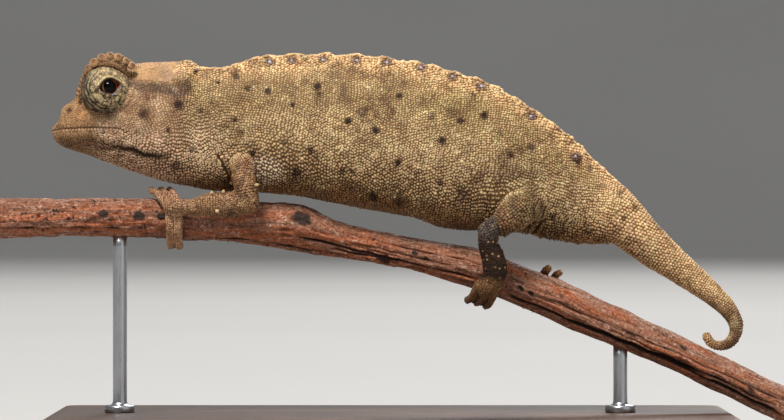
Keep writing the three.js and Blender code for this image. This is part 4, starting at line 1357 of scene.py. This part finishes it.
turrets = []
for side in (-1, 1):
    # Rings of small scales round the line of sight, outside the lids
    flip = (1, -side, 1)
    dome = (turretGrid(160, coatDepth * 0.6) * flip)[2:46]
    found = ringRoots(dome[::-1], evenPitch(coatPlan["turret"]), f"turret{side}")
    away = found["at"] * flip - eyeCentre
    found["normal"] = unit(away * 0.5 + sightLeft * 0.9) * flip
    radius, angle = turretPlaces(found["at"] * flip)
    lowFront = bell(wrapped(angle - furrowSide), 1.1)
    line = np.max([bell(radius / eye["radius"] - place, 0.02) for place, _, _ in furrows], axis=0)
    inFurrow = (line * lowFront > 0.6) & (radius < 0.9 * eye["radius"])
    bare = inFurrow | (radius - lidEdge(angle) < 0.14)
    turrets.insert(0, picked(found, ~bare))

roots = allRoots([*single, *turrets, *rings])
print(f"{len(roots['at'])} scales found")


def thinned(roots):
    # Where two parts meet, the later part's scales give way to the earlier part's
    near = KDTree(len(roots["at"]))
    for k, place in enumerate(roots["at"]):
        near.insert(place, k)
    near.balance()
    kept = np.ones(len(roots["at"]), bool)
    label, pitch = roots["label"], roots["pitch"]
    for k, place in enumerate(roots["at"]):
        if kept[k]:
            for _, other, away in near.find_range(place, 0.5 * pitch[k] + 0.16):
                room = 0.32 * (pitch[k] + pitch[other]) + 0.18 * pitch[k] * (label[k] == "brow")
                if other > k and label[other] != label[k] and away < room:
                    kept[other] = False
    return picked(roots, kept)


roots = thinned(roots)
count = len(roots["at"])
print(f"{count} scales kept")
x, y, z = roots["at"].T
label = roots["label"].astype(str)
up = heightShare(roots["at"])
onBody, onTail = label == "body", label == "tail"
turreted = np.char.startswith(label, "turret")
onLimb = np.isin(label, list(limbTubes))
onToe = np.isin(label, [name for name in limbTubes if "Over" in name or "Under" in name])
onThigh = np.isin(label, ("hindLeftUpper", "hindRightUpper"))
onBrow = np.isin(label, ("browLeft", "browRight"))
head = onBody * easeDown(x, -20, -16)
casque = onBody * onCasque(roots["at"])
muzzle = onBody * easeDown(x, -25.8, -24.4)

# Height of each scale as a share of its pitch: formulas on head and trunk, then part by part
tall = 0.28 + 0.12 * easeDown(up, 0.1, 0.4) + 0.06 * easeStep(up, 0.86, 1)
tall = lerp(tall, lerp(0.34, 0.15, easeStep(up, 0.2, 0.5)), head)
tall = lerp(lerp(tall, 0.035, casque), 0.09, muzzle)
for chosen, height in (
    (onBrow, 0.2), (onLimb, 0.2), (onToe, 0.17), (turreted, 0.13), (onTail, 0.28), (onThigh, 0.32),
    (label == "lip", 0.1), (label == "brow", 0.56), (label == "pearl", 0.5), (label == "spike", 1.0),
    (label == "crest", 0.42),
):
    tall[chosen] = height

# How pointed each scale is, from a dome to a cone
point = np.where(onBody, 0.05, 0.15) + 0.3 * chance.random(count)
point = np.where(np.isin(label, ("pearl", "spike")), 0.8, np.where(casque > 0.5, 0.0, point))

# How little of the painted groove shade it gets: the largest of the shares of the parts that it belongs to
throaty = head * easeDown(up, 0.2, 0.34)
lit = np.maximum.reduce([
    casque * 0.88, muzzle * 0.6, (label == "lip") * 0.6, head * (0.42 - 0.25 * throaty), onLimb * 0.14,
    onBody * 0.2 * easeStep(up, 0.2, 0.5), onTail * 0.2, turreted * 0.55, onBrow * 0.3,
    np.isin(label, ("crest", "pearl", "spike")) * 0.5,
])

# Small pale tips low on the trunk, on the throat and on the limbs, so that more of each scale there gets the
# painted groove shade
keen = 1 + 1.9 * easeDown(up, 0.08, 0.4) * (onBody | onTail) + 1.1 * onLimb
fill = 0.56 + 0.06 * onLimb + 0.025 * head - 0.06 * (onBody * easeDown(up, 0.1, 0.4))
size = roots["pitch"] * fill * (1 + chance.normal(0, 0.1, count))
tall = tall * (1 + chance.normal(0, 0.15, count))

# Cone-shaped tubercles among the scales of the limbs, slightly larger scales on the flank, and
# cones under the rump: how many of them there are, and how wide and tall beside the others
tubercles = dict(chance=(0.045, 0.02, 0.35), wider=(1.3, 1.3, 1.25), taller=(2.3, 1.4, 2.0))
among = (onLimb & ~onToe, onBody & (head < 0.3), onBody & (up < 0.1) & (x > 11))
bumps = [own & (chance.random(count) < share) for own, share in zip(among, tubercles["chance"])]
spiny, bold, ragged = bumps
size = size * np.select(bumps, tubercles["wider"], 1)
tall = tall * np.select(bumps, tubercles["taller"], 1)
pale = spiny | ragged
point = np.where(pale, 0.95, point)

colours = hideColours(roots["at"])
for side in (-1, 1):
    own = label == f"turret{side}"
    colours[own] = turretTone(roots["at"][own] * (1, -side, 1))
# Painted shade: scales low on the belly are darkened, less so on the head
under = onBody * easeDown(up, -0.02, 0.12) * (1 - 0.6 * easeDown(x, -20, -16))
colours *= 1 - 0.35 * under[:, None]
# The pearl scales are pale grey: partly their own bluish grey, partly a painted highlight
colours[label == "pearl"] = shades["pearl"]
colours[onBrow] = lerp(shades["casque"], shades["cheek"], 0.55)
colours[label == "spike"] = shades["spike"]
colours[label == "brow"] = lerp(shades["casque"], shades["cheek"], 0.35)
share = (0.15 + 0.5 * chance.random(pale.sum()))[:, None]
colours[pale] = lerp(colours[pale], shades["spinyTip"], share)
colours[bold] = lerp(colours[bold], shades["boldTip"], 0.35)
uneven = np.where((casque > 0.5) | (label == "brow"), 0.05, np.where(onLimb, 0.18, 0.14))
uneven[label == "crest"] = 0.08
colours *= 1 + chance.normal(0, 1, (count, 1)) * uneven[:, None] + chance.normal(0, 0.03, (count, 3))

# Rings of a scale: radius when low and when pointed, height as a share of the whole, paleness from the
# painted groove shade (0) to the painted tip highlight (1)
granule = dict(sides=6, low=(1.0, 0.9, 0.56), sharp=(1.0, 0.62, 0.26), height=(0.0, 0.36, 0.84),
               pale=(0.0, 0.35, 0.85), crown=1.0)
bead = dict(sides=14, low=(0.9, 1.02, 1.0, 0.8, 0.38), sharp=(1.0, 0.95, 0.8, 0.5, 0.18),
            height=(0.0, 0.22, 0.5, 0.82, 0.98), pale=(0.0, 0.6, 0.95, 0.85, 0.15), crown=0.0)


def scaleShapes(form, at, normal, ahead, along, across, tall, point, colours, lit, keen, spin):
    # Each scale is a stack of rings and a top: place = root + ahead cos + side sin, times the
    # ring's radius, lifted along the normal by the ring's height; the first ring lies in the skin
    count, sides, rings = len(at), form["sides"], len(form["low"])
    ahead = unit(ahead - normal * (ahead * normal).sum(1, keepdims=True))
    beside = np.cross(normal, ahead)
    turn = circle(sides)[None] + spin[:, None]
    layers = []
    for k in range(rings):
        radius = lerp(form["low"][k], form["sharp"][k], point)
        lift = form["height"][k] * tall - 0.04 * (k == 0)
        step = ahead[:, None] * (np.cos(turn) * (along * radius)[:, None])[..., None]
        step = step + beside[:, None] * (np.sin(turn) * (across * radius)[:, None])[..., None]
        back = ahead * (along * 0.2 * k / rings)[:, None]
        layers.append(at[:, None] + step + (normal * lift[:, None] + back)[:, None])
    top = at + normal * tall[:, None] + ahead * (along * 0.22)[:, None]
    under = at - normal * 0.05
    points = np.concatenate([*layers, under[:, None], top[:, None]], axis=1)
    each = rings * sides + 2
    faces = gridTriangles(rings, sides)
    triangles = (faces[None] + (np.arange(count) * each)[:, None, None]).reshape(-1, 3)
    tip = np.concatenate([np.repeat(form["pale"], sides), [0.0, form["crown"]]])
    shown = lerp(tip[None, :] ** keen[:, None], 1.0, lit[:, None])
    paint = np.concatenate([np.repeat(colours[:, None], each, axis=1), shown[..., None]], 2)
    patch = np.concatenate([np.repeat(np.linspace(0.0015, 0.0005, rings), sides), [0.0002, 0.0]])
    around = np.append(np.tile(turn[0] - spin[0], rings), [0.0, 0.0])
    flat = np.column_stack([np.cos(around), np.sin(around)]) * patch[:, None]
    return points.reshape(-1, 3), triangles, paint.reshape(-1, 4), flat


def patchMap(chosen, flat):
    # Each scale is a patch 0.003 across at its root's place on the unrolled skin of its own part
    names = sorted(set(label[chosen]))
    across = int(np.ceil(np.sqrt(len(names))))
    place = np.zeros((len(chosen), 2))
    for k, name in enumerate(names):
        own = label[chosen] == name
        spots = np.column_stack([roots["u"][chosen][own], roots["v"][chosen][own]])
        low, high = spots.min(0), spots.max(0)
        share = (spots - low) / np.maximum(high - low, 1e-6)
        place[own] = (np.array([k % across, k // across]) + 0.04 + 0.92 * share) / across
    return np.clip((place[:, None] + flat[None]).reshape(-1, 2), 0, 1)


# The coat's pieces: trunk and tail of each side in three bands from back to belly that hold as
# many scales each, the arm, the leg, and the round beads
special = np.isin(label, ("brow", "pearl", "spike", "crest"))
fromBack = np.where(onBody | onTail, np.minimum(roots["v"], 1 - roots["v"]) * 2, 0.0)
coat = {}
for word, onThisSide in (("Left", y < 0), ("Right", y >= 0)):
    trunk = np.flatnonzero(onThisSide & ~onLimb & ~special)
    band = np.searchsorted(np.quantile(fromBack[trunk], [1 / 3, 2 / 3]), fromBack[trunk])
    for k, part in enumerate(("Back", "Flank", "Belly")):
        coat[f"scales{part}{word}"] = trunk[band == k]
    coat[f"scalesArm{word}"] = np.flatnonzero(onThisSide & onLimb & (x < 0))
    coat[f"scalesLeg{word}"] = np.flatnonzero(onThisSide & onLimb & (x > 0))
    coat[f"beads{word}"] = np.flatnonzero(onThisSide & special)
spin = np.where(onLimb | turreted, chance.random(count) * 6.28, chance.normal(0, 0.2, count))
height = tall * roots["pitch"]
colours = np.clip(colours, 0, 1)
for name, chosen in coat.items():
    form = bead if name.startswith("beads") else granule
    given = (roots["at"], roots["normal"], roots["ahead"], size * 1.02, size, height, point, colours,
             lit, keen, spin)
    points, triangles, paint, flat = scaleShapes(form, *(value[chosen] for value in given))
    addPiece(name, points, triangles, hide, "skin", (), paint, None, patchMap(chosen, flat))


eyeLook = dict(
    pupil=tint(2, 2, 2), ring=[tint(40, 20, 14), tint(120, 48, 24)], rear=tint(146, 64, 32),
    iris=[tint(96, 58, 44), tint(142, 98, 80)], pupilEdge=(0.27, 0.285), ringEdge=(0.33, 0.38),
)


def eyeMaterial():
    # Black pupil in a thin red-brown ring, all under a wet clear layer
    material, shader, places = newMaterial(
        "wet eye", Roughness=0.3, IOR=1.2, Specular_IOR_Level=0.05,
        Coat_Weight=0.4, Coat_Roughness=0.1, Coat_IOR=1.35,
    )
    ring = places.stored("grain", 1)
    share = ring.node("ShaderNodeSeparateXYZ", {}, {0: ring})
    rays = ring.stretched(2.0, 9.0, 1.0).noise(3.0, 4)
    behind = share.twin(1).band(0.45, 0.95)
    iris = rays.band(0.35, 0.65).shaded(*eyeLook["iris"])
    iris = behind.shaded(iris, eyeLook["rear"])
    dark = share.band(*eyeLook["pupilEdge"]).shaded(eyeLook["pupil"], iris)
    whole = share.band(*eyeLook["ringEdge"]).shaded(dark, behind.shaded(*eyeLook["ring"]))
    feed(shader, Base_Color=whole)
    return material


def ballShell():
    # A ball about the line of sight, in rings from its front pole. Its grain says how far from the
    # pole a place is, and how near it is to the rear corner of the eye, from 0 to 1
    angle = circle(48)[None, :]
    tilt = np.linspace(0.03, np.pi - 0.03, 40)[:, None]
    radius = eye["ball"] * np.sin(tilt)
    out = eye["depth"] + eye["ball"] * np.cos(tilt) + 0.03 * bell(tilt, 0.5)
    grid = inEye(radius * np.cos(angle), radius * np.sin(angle), out + 0 * angle)
    fromPole, nearRear = tilt / np.pi + 0 * angle, np.abs(angle / np.pi - 1) + 0 * tilt
    grain = np.stack([fromPole, nearRear, 0 * fromPole], -1)
    return closedShell(grid), np.vstack([grain.reshape(-1, 3), [0, 0, 0], [1, 0, 0]])


wetEye = eyeMaterial()
leftBall, ballGrain = ballShell()
addPiece("eyeballLeft", *leftBall, wetEye, "eye", ["eyeball_left"], None, ballGrain)
addPiece("eyeballRight", *mirrored(leftBall), wetEye, "eye", ["eyeball_right"], None, ballGrain)

clawPlan = dict(length=0.28, half=0.085, curl=0.2, dark=(120, 96, 70), pale=(190, 168, 132))


def clawShells():
    # A small hooked cone at the end of every toe, bent towards the branch
    found = []
    for name, tube in limbTubes.items():
        if "Over" not in name and "Under" not in name:
            continue
        path = np.asarray(tube, float)
        end, before = path[-1, :3], path[-2, :3]
        ahead = unit(end - before)
        height, _ = perchAt(end[0])
        inward = unit(np.array([end[0], 0, height]) - end)
        start = end + ahead * path[-1, 3] * 0.72 - inward * 0.04
        share = np.linspace(0, 1, 5)[:, None]
        line = start + ahead * clawPlan["length"] * share + inward * clawPlan["curl"] * share**2
        half = clawPlan["half"] * (1 - 0.85 * share[:, 0])
        found.append(closedShell(tubeGrid(np.column_stack([line, half]), 7, 8)))
    return gathered(found)


def clawMaterial():
    # Horn in fine lines between the dark and the pale shade
    material, shader, places = newMaterial("horn claw", Roughness=0.35, IOR=1.5)
    streak = places.stretched(1, 1, 3).noise(4000, 3)
    feed(shader, Base_Color=streak.band(0.3, 0.7).shaded(tint(*clawPlan["dark"]), tint(*clawPlan["pale"])))
    return material


addPiece("claws", *clawShells(), clawMaterial(), "claw")
print("eyes and claws made")


# Knots: x, degrees round the branch from its top, size and height. Splits: x and degrees at both
# ends, half width and depth
knots = [(-24.4, 82, 0.5, 0.2), (-21.4, 86, 0.62, 0.15), (-19.5, 84, 0.5, 0.2), (-7.6, 64, 0.95, 0.3),
         (-0.6, 136, 0.75, 0.4), (10.9, 96, 0.3, 0.3), (11.75, 99, 0.3, 0.3), (1.9, 84, 0.3, 0.1),
         (2.9, 92, 0.26, 0.1), (24.6, 60, 0.3, 0.1), (30.4, 95, 0.34, 0.1), (21.0, 128, 0.4, 0.2),
         (-30.5, 250, 0.5, 0.3), (4.0, 285, 0.5, 0.3), (18.0, 250, 0.6, 0.3)]
splits = [(9.0, 27.5, 141, 116, 0.15, 0.33), (-34.0, -22.0, 118, 128, 0.08, 0.14),
          (-8.5, 3.0, 112, 128, 0.12, 0.26), (-6.0, 8.0, 134, 120, 0.1, 0.24),
          (13.0, 34.6, 96, 84, 0.07, 0.13), (-16.5, -2.0, 150, 160, 0.16, 0.35),
          (18.0, 34.6, 128, 134, 0.14, 0.28), (-34.6, -10.0, 215, 228, 0.14, 0.3),
          (-2.0, 20.0, 250, 236, 0.14, 0.3), (14.0, 34.0, 305, 296, 0.12, 0.25),
          (-30.0, -8.0, 312, 322, 0.12, 0.24), (-2.0, 12.0, 64, 78, 0.08, 0.14),
          (19.0, 33.0, 108, 112, 0.08, 0.16), (-4.0, 6.0, 92, 100, 0.07, 0.12),
          (1.0, 9.0, 146, 138, 0.1, 0.24)]
perchPlan = dict(rows=640, sides=150, ridge=0.1, furrow=0.14, fibre=0.045, crumb=0.085)


def perchSplits(x, turn, radius):
    # Depth of the splits at each place: a bell across the split, shallower towards its two ends
    depth = 0 * x + 0 * turn
    sway = 0.08 * cloud(np.stack([x, 0 * x, 0 * x], -1), 1.4, 55)
    for start, end, first, last, width, deep in splits:
        share = (x - start) / (end - start)
        middle = np.radians(lerp(first, last, share)) + sway
        inside = easeStep(share, 0, 0.12) * easeDown(share, 0.85, 1)
        gap = wrapped(turn - middle) * radius
        depth = np.maximum(depth, deep * inside * bell(gap, width * (0.5 + 0.6 * inside)))
    return depth


def perchKnots(x, turn, radius, along):
    # Height of the knots, a raised rim round a hollow, and 1 to 0 outwards from their middles
    rise = scar = 0 * x + 0 * turn
    ragged = 0.25 * cloud(along * (6, 1, 1), 0.2, 57)
    for place, degrees, size, lift in knots:
        gap = wrapped(turn - np.radians(degrees)) * radius
        away = np.hypot((x - place) / 1.25, gap) / size + ragged
        rise = rise + lift * 0.3 * bell(away - 0.9, 0.35) - lift * 0.55 * bell(away, 0.55)
        scar = np.maximum(scar, bell(away, 0.8))
    return rise, scar


def cutRings(middle, outline, radius, order):
    # A sawn end: its outline drawn in towards the pith, and 2 as the grain's third number
    rings = [(outline - middle) * share + middle for share in order]
    told = []
    for share in order:
        ring = np.zeros_like(outline)
        ring[:, 1], ring[:, 2] = radius * share, 2
        told.append(ring)
    return np.array(rings), np.array(told)


def perchShell():
    # Upright rings along the branch, x and turn round it from the top over the left side. The
    # radius carries long bark ridges, fine fibres, splits that wander along the grain, and knots
    rows, sides = perchPlan["rows"], perchPlan["sides"]
    half = -perchStations[0, 0]
    x = np.linspace(-half, half, rows)[:, None]
    turn = circle(sides)[None, :]
    height, radius = perchAt(x)
    stretch = np.hypot(1, np.gradient(height[:, 0], x[:, 0])[:, None])
    spread = 0 * x + turn
    wound = spread + 0.02 * x
    along = np.stack([x / 9 + 0 * turn, 1.7 * np.cos(wound), 1.7 * np.sin(wound)], -1)
    ridge = cloud(along, 0.42, 51)
    furrow = easeStep(cloud(along * (1.6, 1, 1), 0.26, 54), 0.12, 0.6)
    fibre = cloud(along, 0.12, 52)
    crumb = cloud(along * (5, 1, 1), 0.3, 53) * easeStep(-x, -3.0, 12.0)
    crumb = crumb + 0.5 * cloud(along * (6, 1, 1), 0.8, 56)
    lobes = 0.025 * np.sin(3 * turn + 0.35 * x) + 0.02 * np.sin(5 * turn - 0.6 * x)
    depth = perchSplits(x, turn, radius)
    rise, scar = perchKnots(x, turn, radius, along)
    reach = radius * (1 + lobes) - 0.03 + perchPlan["ridge"] * ridge - perchPlan["furrow"] * furrow
    reach = reach + perchPlan["fibre"] * fibre + perchPlan["crumb"] * crumb + rise - depth
    grid = np.stack([x + 0 * reach, -reach * np.sin(turn), height + reach * stretch * np.cos(turn)], -1)

    # The grain holds x, the way round, and a share of painted shade for the splits, the bark furrows (more on
    # the underside) and the hollows between ridges; the marks hold crust, orange and grey shares for the
    # material
    low = depth * 3.6 + 0.3 * furrow * (1 - 0.5 * np.cos(turn)) + 0.12 * easeStep(-ridge, 0.1, 0.7)
    grain = np.stack([x + 0 * reach, radius * spread, np.clip(low, 0, 1)], -1)
    top = easeStep(np.cos(turn - 0.5), 0.15, 0.9) * easeStep(x, -14, 2)
    grey = top * easeStep(cloud(along * (1.4, 1, 1), 0.35, 58) + 0.35, 0, 0.6)
    warm = turn - 2.1 + 0.5 * easeStep(x, 2, 10)
    glow = easeStep(cloud(along * (1.2, 1, 1), 0.4, 59), -0.3, 0.3) * easeStep(np.cos(warm), 0.0, 0.7)
    rotten = bell(x + 1.4, 2.4) * easeStep(np.cos(turn - 1.75), 0.1, 0.7)
    glow = np.maximum(glow, rotten * (0.75 + 0.3 * fibre))
    speckle = cloud(along * (7, 1, 1), 0.34, 60) + 0.6 * cloud(along * (9, 1, 1), 0.14, 61)
    ragged = scar * (0.95 + 0.25 * cloud(along * (9, 1, 1), 0.12, 62))
    flecked = easeStep(speckle, 0.35, 0.9) * (0.25 + 0.4 * easeStep(-x, 4, 20) + 0.5 * rotten)
    marks = np.stack([np.maximum(ragged, flecked), glow, grey * (1 - rotten)], -1)

    shares = np.array([0.12, 0.3, 0.5, 0.7, 0.85, 0.97])
    ends = []
    for end, order in ((0, shares), (-1, shares[::-1])):
        middle = np.array([x[end, 0], 0, height[end, 0]])
        ends.append(cutRings(middle, grid[end], radius[end], order))
    (first, firstGrain), (last, lastGrain) = ends
    vectors = np.concatenate([firstGrain, grain, lastGrain]).reshape(-1, 3)
    bare = np.zeros((len(shares), sides, 3))
    paint = np.concatenate([bare, marks, bare]).reshape(-1, 3)
    shell = closedShell(np.concatenate([first, grid, last]))
    return shell, np.vstack([vectors, [[0, 0, 2]] * 2]), np.vstack([paint, np.zeros((2, 3))])


perchLook = dict(
    orange=(182, 98, 54), brown=(66, 36, 24), grey=(160, 122, 102), pale=(222, 190, 168),
    deep=(30, 15, 9), crust=(38, 32, 30), cut=(150, 104, 72), ring=(204, 166, 122),
)
perchLook = {name: tint(*shade) for name, shade in perchLook.items()}
perchWood = [(0.3, tint(100, 58, 40)), (0.43, tint(138, 88, 64)), (0.54, tint(164, 110, 84)),
             (0.68, tint(122, 74, 52))]


def perchMaterial():
    # Weathered twig: red-brown wood in long darker and orange streaks, a grey-pink sunned top,
    # blackish knots and crust, painted shade in the splits and furrows, and pale cut ends with growth rings
    material, shader, places = newMaterial("weathered twig", IOR=1.45, Specular_IOR_Level=0.32)
    grain = places.stored("grain", 1)
    parted = grain.node("ShaderNodeSeparateXYZ", {}, {0: grain})
    across, deep = parted.twin(1), parted.twin(2)
    marks = places.stored("hide")
    crust = marks.node("ShaderNodeSeparateColor", {}, {0: marks})
    glow, grey = crust.twin(1), crust.twin(2)
    streak = grain.stretched(0.16, 1.0, 0.0).noise(2.6, 5, 0.6, 0.25)
    fine = grain.stretched(0.3, 4.2, 0.0).noise(2.4, 5, 0.68, 0.1)
    hair = grain.stretched(0.5, 9.0, 0.0).noise(2.2, 4, 0.6)
    grit = places.noise(4400, 5, 0.7)
    crumbs = places.noise(2600, 4, 0.7)
    wood = streak.node("ShaderNodeValToRGB", {"stops": perchWood}, {0: streak})
    lively = (glow * fine.band(0.25, 0.55) * 0.9).shaded(wood, perchLook["orange"])
    greyed = (grey * streak.band(0.35, 0.6, 0.25, 0.75)).shaded(lively, perchLook["grey"])
    brown = (fine.band(0.46, 0.32) * 0.75).shaded(greyed, perchLook["brown"])
    pale = (hair.band(0.48, 0.68) * grit.band(0.42, 0.6) * 0.75).shaded(brown, perchLook["pale"])
    dusted = (crumbs.band(0.52, 0.64) * grit.band(0.46, 0.6) * 0.8).shaded(pale, perchLook["pale"])
    pitted = (grit.band(0.49, 0.36) * crumbs.band(0.6, 0.4) * 0.95).shaded(dusted, perchLook["brown"])
    # Painted shade in the splits, the furrows and between the ridges
    split = deep.band(0.15, 0.85).shaded(pitted, perchLook["deep"])
    crusted = ((crust + grit * 0.5 - 0.25).band(0.3, 0.62) * 0.9).shaded(split, perchLook["crust"])
    rings = (across * 11.0 + grit * 2.0).math("SINE", across * 11.0 + grit * 2.0).band(-0.8, 0.9)
    cutEnd = rings.shaded(perchLook["cut"], perchLook["ring"])
    colour = deep.band(1.2, 1.6).shaded(crusted, cutEnd)
    height = fine * 0.6 + streak * 0.4 + grit * 0.8 + crumbs * 0.9 + hair * 0.2
    rough = grit.band(0.3, 0.7, 0.5, 0.8)
    feed(shader, Base_Color=colour, Roughness=rough, Normal=raised(height, 0.9, 0.0003))
    return material


perchForm, perchGrain, perchMarks = perchShell()
addPiece("perch", *perchForm, perchMaterial(), "perch_wood", ["perch_branch"],
         np.column_stack([perchMarks, np.ones(len(perchMarks))]), perchGrain)


stand = dict(length=58.0, depth=28.0, thickness=3.2, corner=1.6, edge=0.55, rods=(-23.12, 19.4), radius=0.6,
             collar=1.3)


def slabShell():
    # A profile carried round a rectangle with rounded corners: flat under, eased lower edge, upright
    # side, a round upper edge and a flat top
    edge, high = stand["edge"], stand["thickness"]
    profile = [(6.0, 0.0), (1.0, 0.0), (0.2, 0.0), (0.06, 0.06), (0.0, 0.2), (0.0, 0.9)]
    profile.append((0.0, high - edge - 0.25))
    for turn in np.linspace(0, np.pi / 2, 9):
        profile.append((edge * (1 - np.cos(turn)), high - edge * (1 - np.sin(turn))))
    profile += [(1.0, high), (3.0, high), (6.0, high), (9.0, high), (13.9, high)]
    inset, level = np.array(profile).T
    rows = []
    for step, z in zip(inset, level):
        corner = max(stand["corner"] - step, 0.02)
        arc = np.linspace(0, np.pi / 2, 10)
        halfX, halfY = stand["length"] / 2 - step - corner, max(stand["depth"] / 2 - step - corner, 0.0)
        quarter = np.column_stack([halfX + corner * np.cos(arc), halfY + corner * np.sin(arc)])
        other = np.column_stack([-quarter[::-1, 0], quarter[::-1, 1]])
        ring = np.vstack([quarter, other, -quarter, -other])
        rows.append(np.column_stack([ring, np.full(len(ring), z)]))
    return closedShell(np.array(rows))


def turnedGrid(centre, radius, height, sides):
    # Circles of the given radii and heights about an upright line at x = centre
    turn, radius = circle(sides)[None], radius[:, None]
    return np.stack([centre + radius * np.cos(turn), radius * np.sin(turn), height[:, None] + 0 * turn], -1)


def rodShell(centre):
    # Collar with an eased edge and a fillet, then the rod up into the branch's underside
    foot = stand["thickness"] + 0.02
    height, radius = perchAt(centre)
    top = height - radius + 0.12
    rod, collar = stand["radius"], stand["collar"]
    profile = [(collar - 0.06, foot), (collar, foot + 0.06), (collar, foot + 0.45),
               (collar - 0.05, foot + 0.56), (collar - 0.17, foot + 0.61)]
    for turn in np.linspace(0, np.pi / 2, 7):
        profile.append((rod + 0.3 * (1 - np.sin(turn)), foot + 0.62 + 0.3 * (1 - np.cos(turn))))
    profile += [(rod, foot + 2.0), (rod, top - 1.0), (rod, top)]
    return closedShell(turnedGrid(centre, *np.array(profile, float).T, 56))


plinthLook = dict(dark=(52, 32, 22), light=(92, 60, 40), pore=(24, 14, 10))


def plinthMaterial():
    # Dark stained hardwood under a satin oil: cathedral grain along X, fine pores
    material, shader, places = newMaterial(
        "dark stained wood", IOR=1.5, Specular_IOR_Level=0.5, Coat_Weight=0.25, Coat_Roughness=0.3
    )
    figure = places.stretched(0.1, 1.0, 1.0).noise(260, 4, 0.55, 1.2)
    bands = (figure * 26.0).math("SINE", figure * 26.0)
    pores = places.stretched(0.06, 1.0, 1.0).noise(9000, 3, 0.6)
    shade = bands.band(-0.9, 0.9).shaded(tint(*plinthLook["dark"]), tint(*plinthLook["light"]))
    pored = (pores.band(0.55, 0.7) * 0.7).shaded(shade, tint(*plinthLook["pore"]))
    rough = pores.band(0.3, 0.7, 0.34, 0.5)
    feed(shader, Base_Color=pored, Roughness=rough, Normal=raised(pores, 0.25, 0.00008))
    return material


def steelMaterial():
    # Brushed steel, the fine lines running up the rod
    material, shader, places = newMaterial("brushed steel", Metallic=1.0)
    lines = places.stretched(1.0, 1.0, 0.03).noise(16000, 3, 0.6)
    smear = places.noise(500, 3)
    colour = (smear * 0.5 + lines * 0.5).shaded(tint(150, 152, 156), tint(204, 206, 210))
    rough = lines.band(0.3, 0.7, 0.24, 0.42)
    feed(shader, Base_Color=colour, Roughness=rough, Normal=raised(lines, 0.3, 0.00003))
    return material


addPiece("plinth", *slabShell(), plinthMaterial(), "plinth_wood", ["stand_base"])
steel = steelMaterial()
for word, centre in zip(("front", "rear"), stand["rods"]):
    addPiece(f"rod{word.capitalize()}", *rodShell(centre), steel, "rod_steel", [f"stand_rod_{word}"])
print("stand made")


studio = dict(floor=[(170, 169, 167), (175, 174, 172)], flat=1.5, sweep=1.1, top=1.8, world=0.36,
              aim=(0, 0, 0.024), distance=0.36, height=0.0204, lens=194.5)
bpy.context.scene.view_settings.view_transform = "Standard"


def floorMaterial():
    # Matt floor, a little uneven in tone
    material, shader, places = newMaterial("pale floor", Roughness=0.8)
    soft = places.noise(3, 2)
    dark, light = studio["floor"]
    feed(shader, Base_Color=soft.band(0.3, 0.7).shaded(tint(*dark), tint(*light)))
    return material


def sweepPoints(sides=96):
    # A flat round floor that sweeps up on every side into a wall, in metres: circles of radius and
    # height, with a fan in the middle
    bend = np.linspace(0, np.pi / 2, 14)
    radius = np.concatenate([[0.3, 0.8], studio["flat"] + studio["sweep"] * np.sin(bend)])
    height = np.concatenate([[0, 0], studio["sweep"] * (1 - np.cos(bend))])
    radius, height = np.append(radius, radius[-1]), np.append(height, studio["top"])
    grid = turnedGrid(0, radius, height, sides)
    return np.vstack([grid.reshape(-1, 3), [0, 0, 0]]), gridTriangles(len(radius), sides)[:-sides]


floorMesh = rawMesh("floor", *sweepPoints())
floorMesh.flip_normals()
floorMesh.materials.append(floorMaterial())
floor = placed("floor", floorMesh)

world = bpy.data.worlds.new("studio")
world.use_nodes = True
world.node_tree.nodes["Background"].inputs[0].default_value = (0.95, 0.97, 1.0, 1)
world.node_tree.nodes["Background"].inputs[1].default_value = studio["world"]
bpy.context.scene.world = world


def softbox(name, place, size, power, shade=(1, 1, 1)):
    # A round light that faces the animal
    data = bpy.data.lights.new(name, "AREA")
    data.shape = "DISK"
    data.size = size
    data.energy = power
    data.color = shade
    lamp = placed(name, data)
    lamp.location = place
    lamp.rotation_euler = (Vector(studio["aim"]) - Vector(place)).to_track_quat("-Z", "Y").to_euler()


softbox("key", (-0.28, -0.52, 0.98), 0.32, 17.5, (1.0, 0.97, 0.93))
softbox("fill", (0.9, -0.8, 0.4), 1.3, 2.6, (0.95, 0.97, 1.0))
softbox("rim", (0.25, 0.8, 0.75), 0.5, 7)

cameraData = bpy.data.cameras.new("camera")
cameraData.lens = studio["lens"]
cameraData.sensor_width = 36
cameraData.clip_start = 0.01
camera = placed("camera", cameraData)
camera.location = (0, -studio["distance"], studio["height"])
camera.rotation_euler = (np.pi / 2, 0, 0)
bpy.context.scene.camera = camera
print("stage ready")
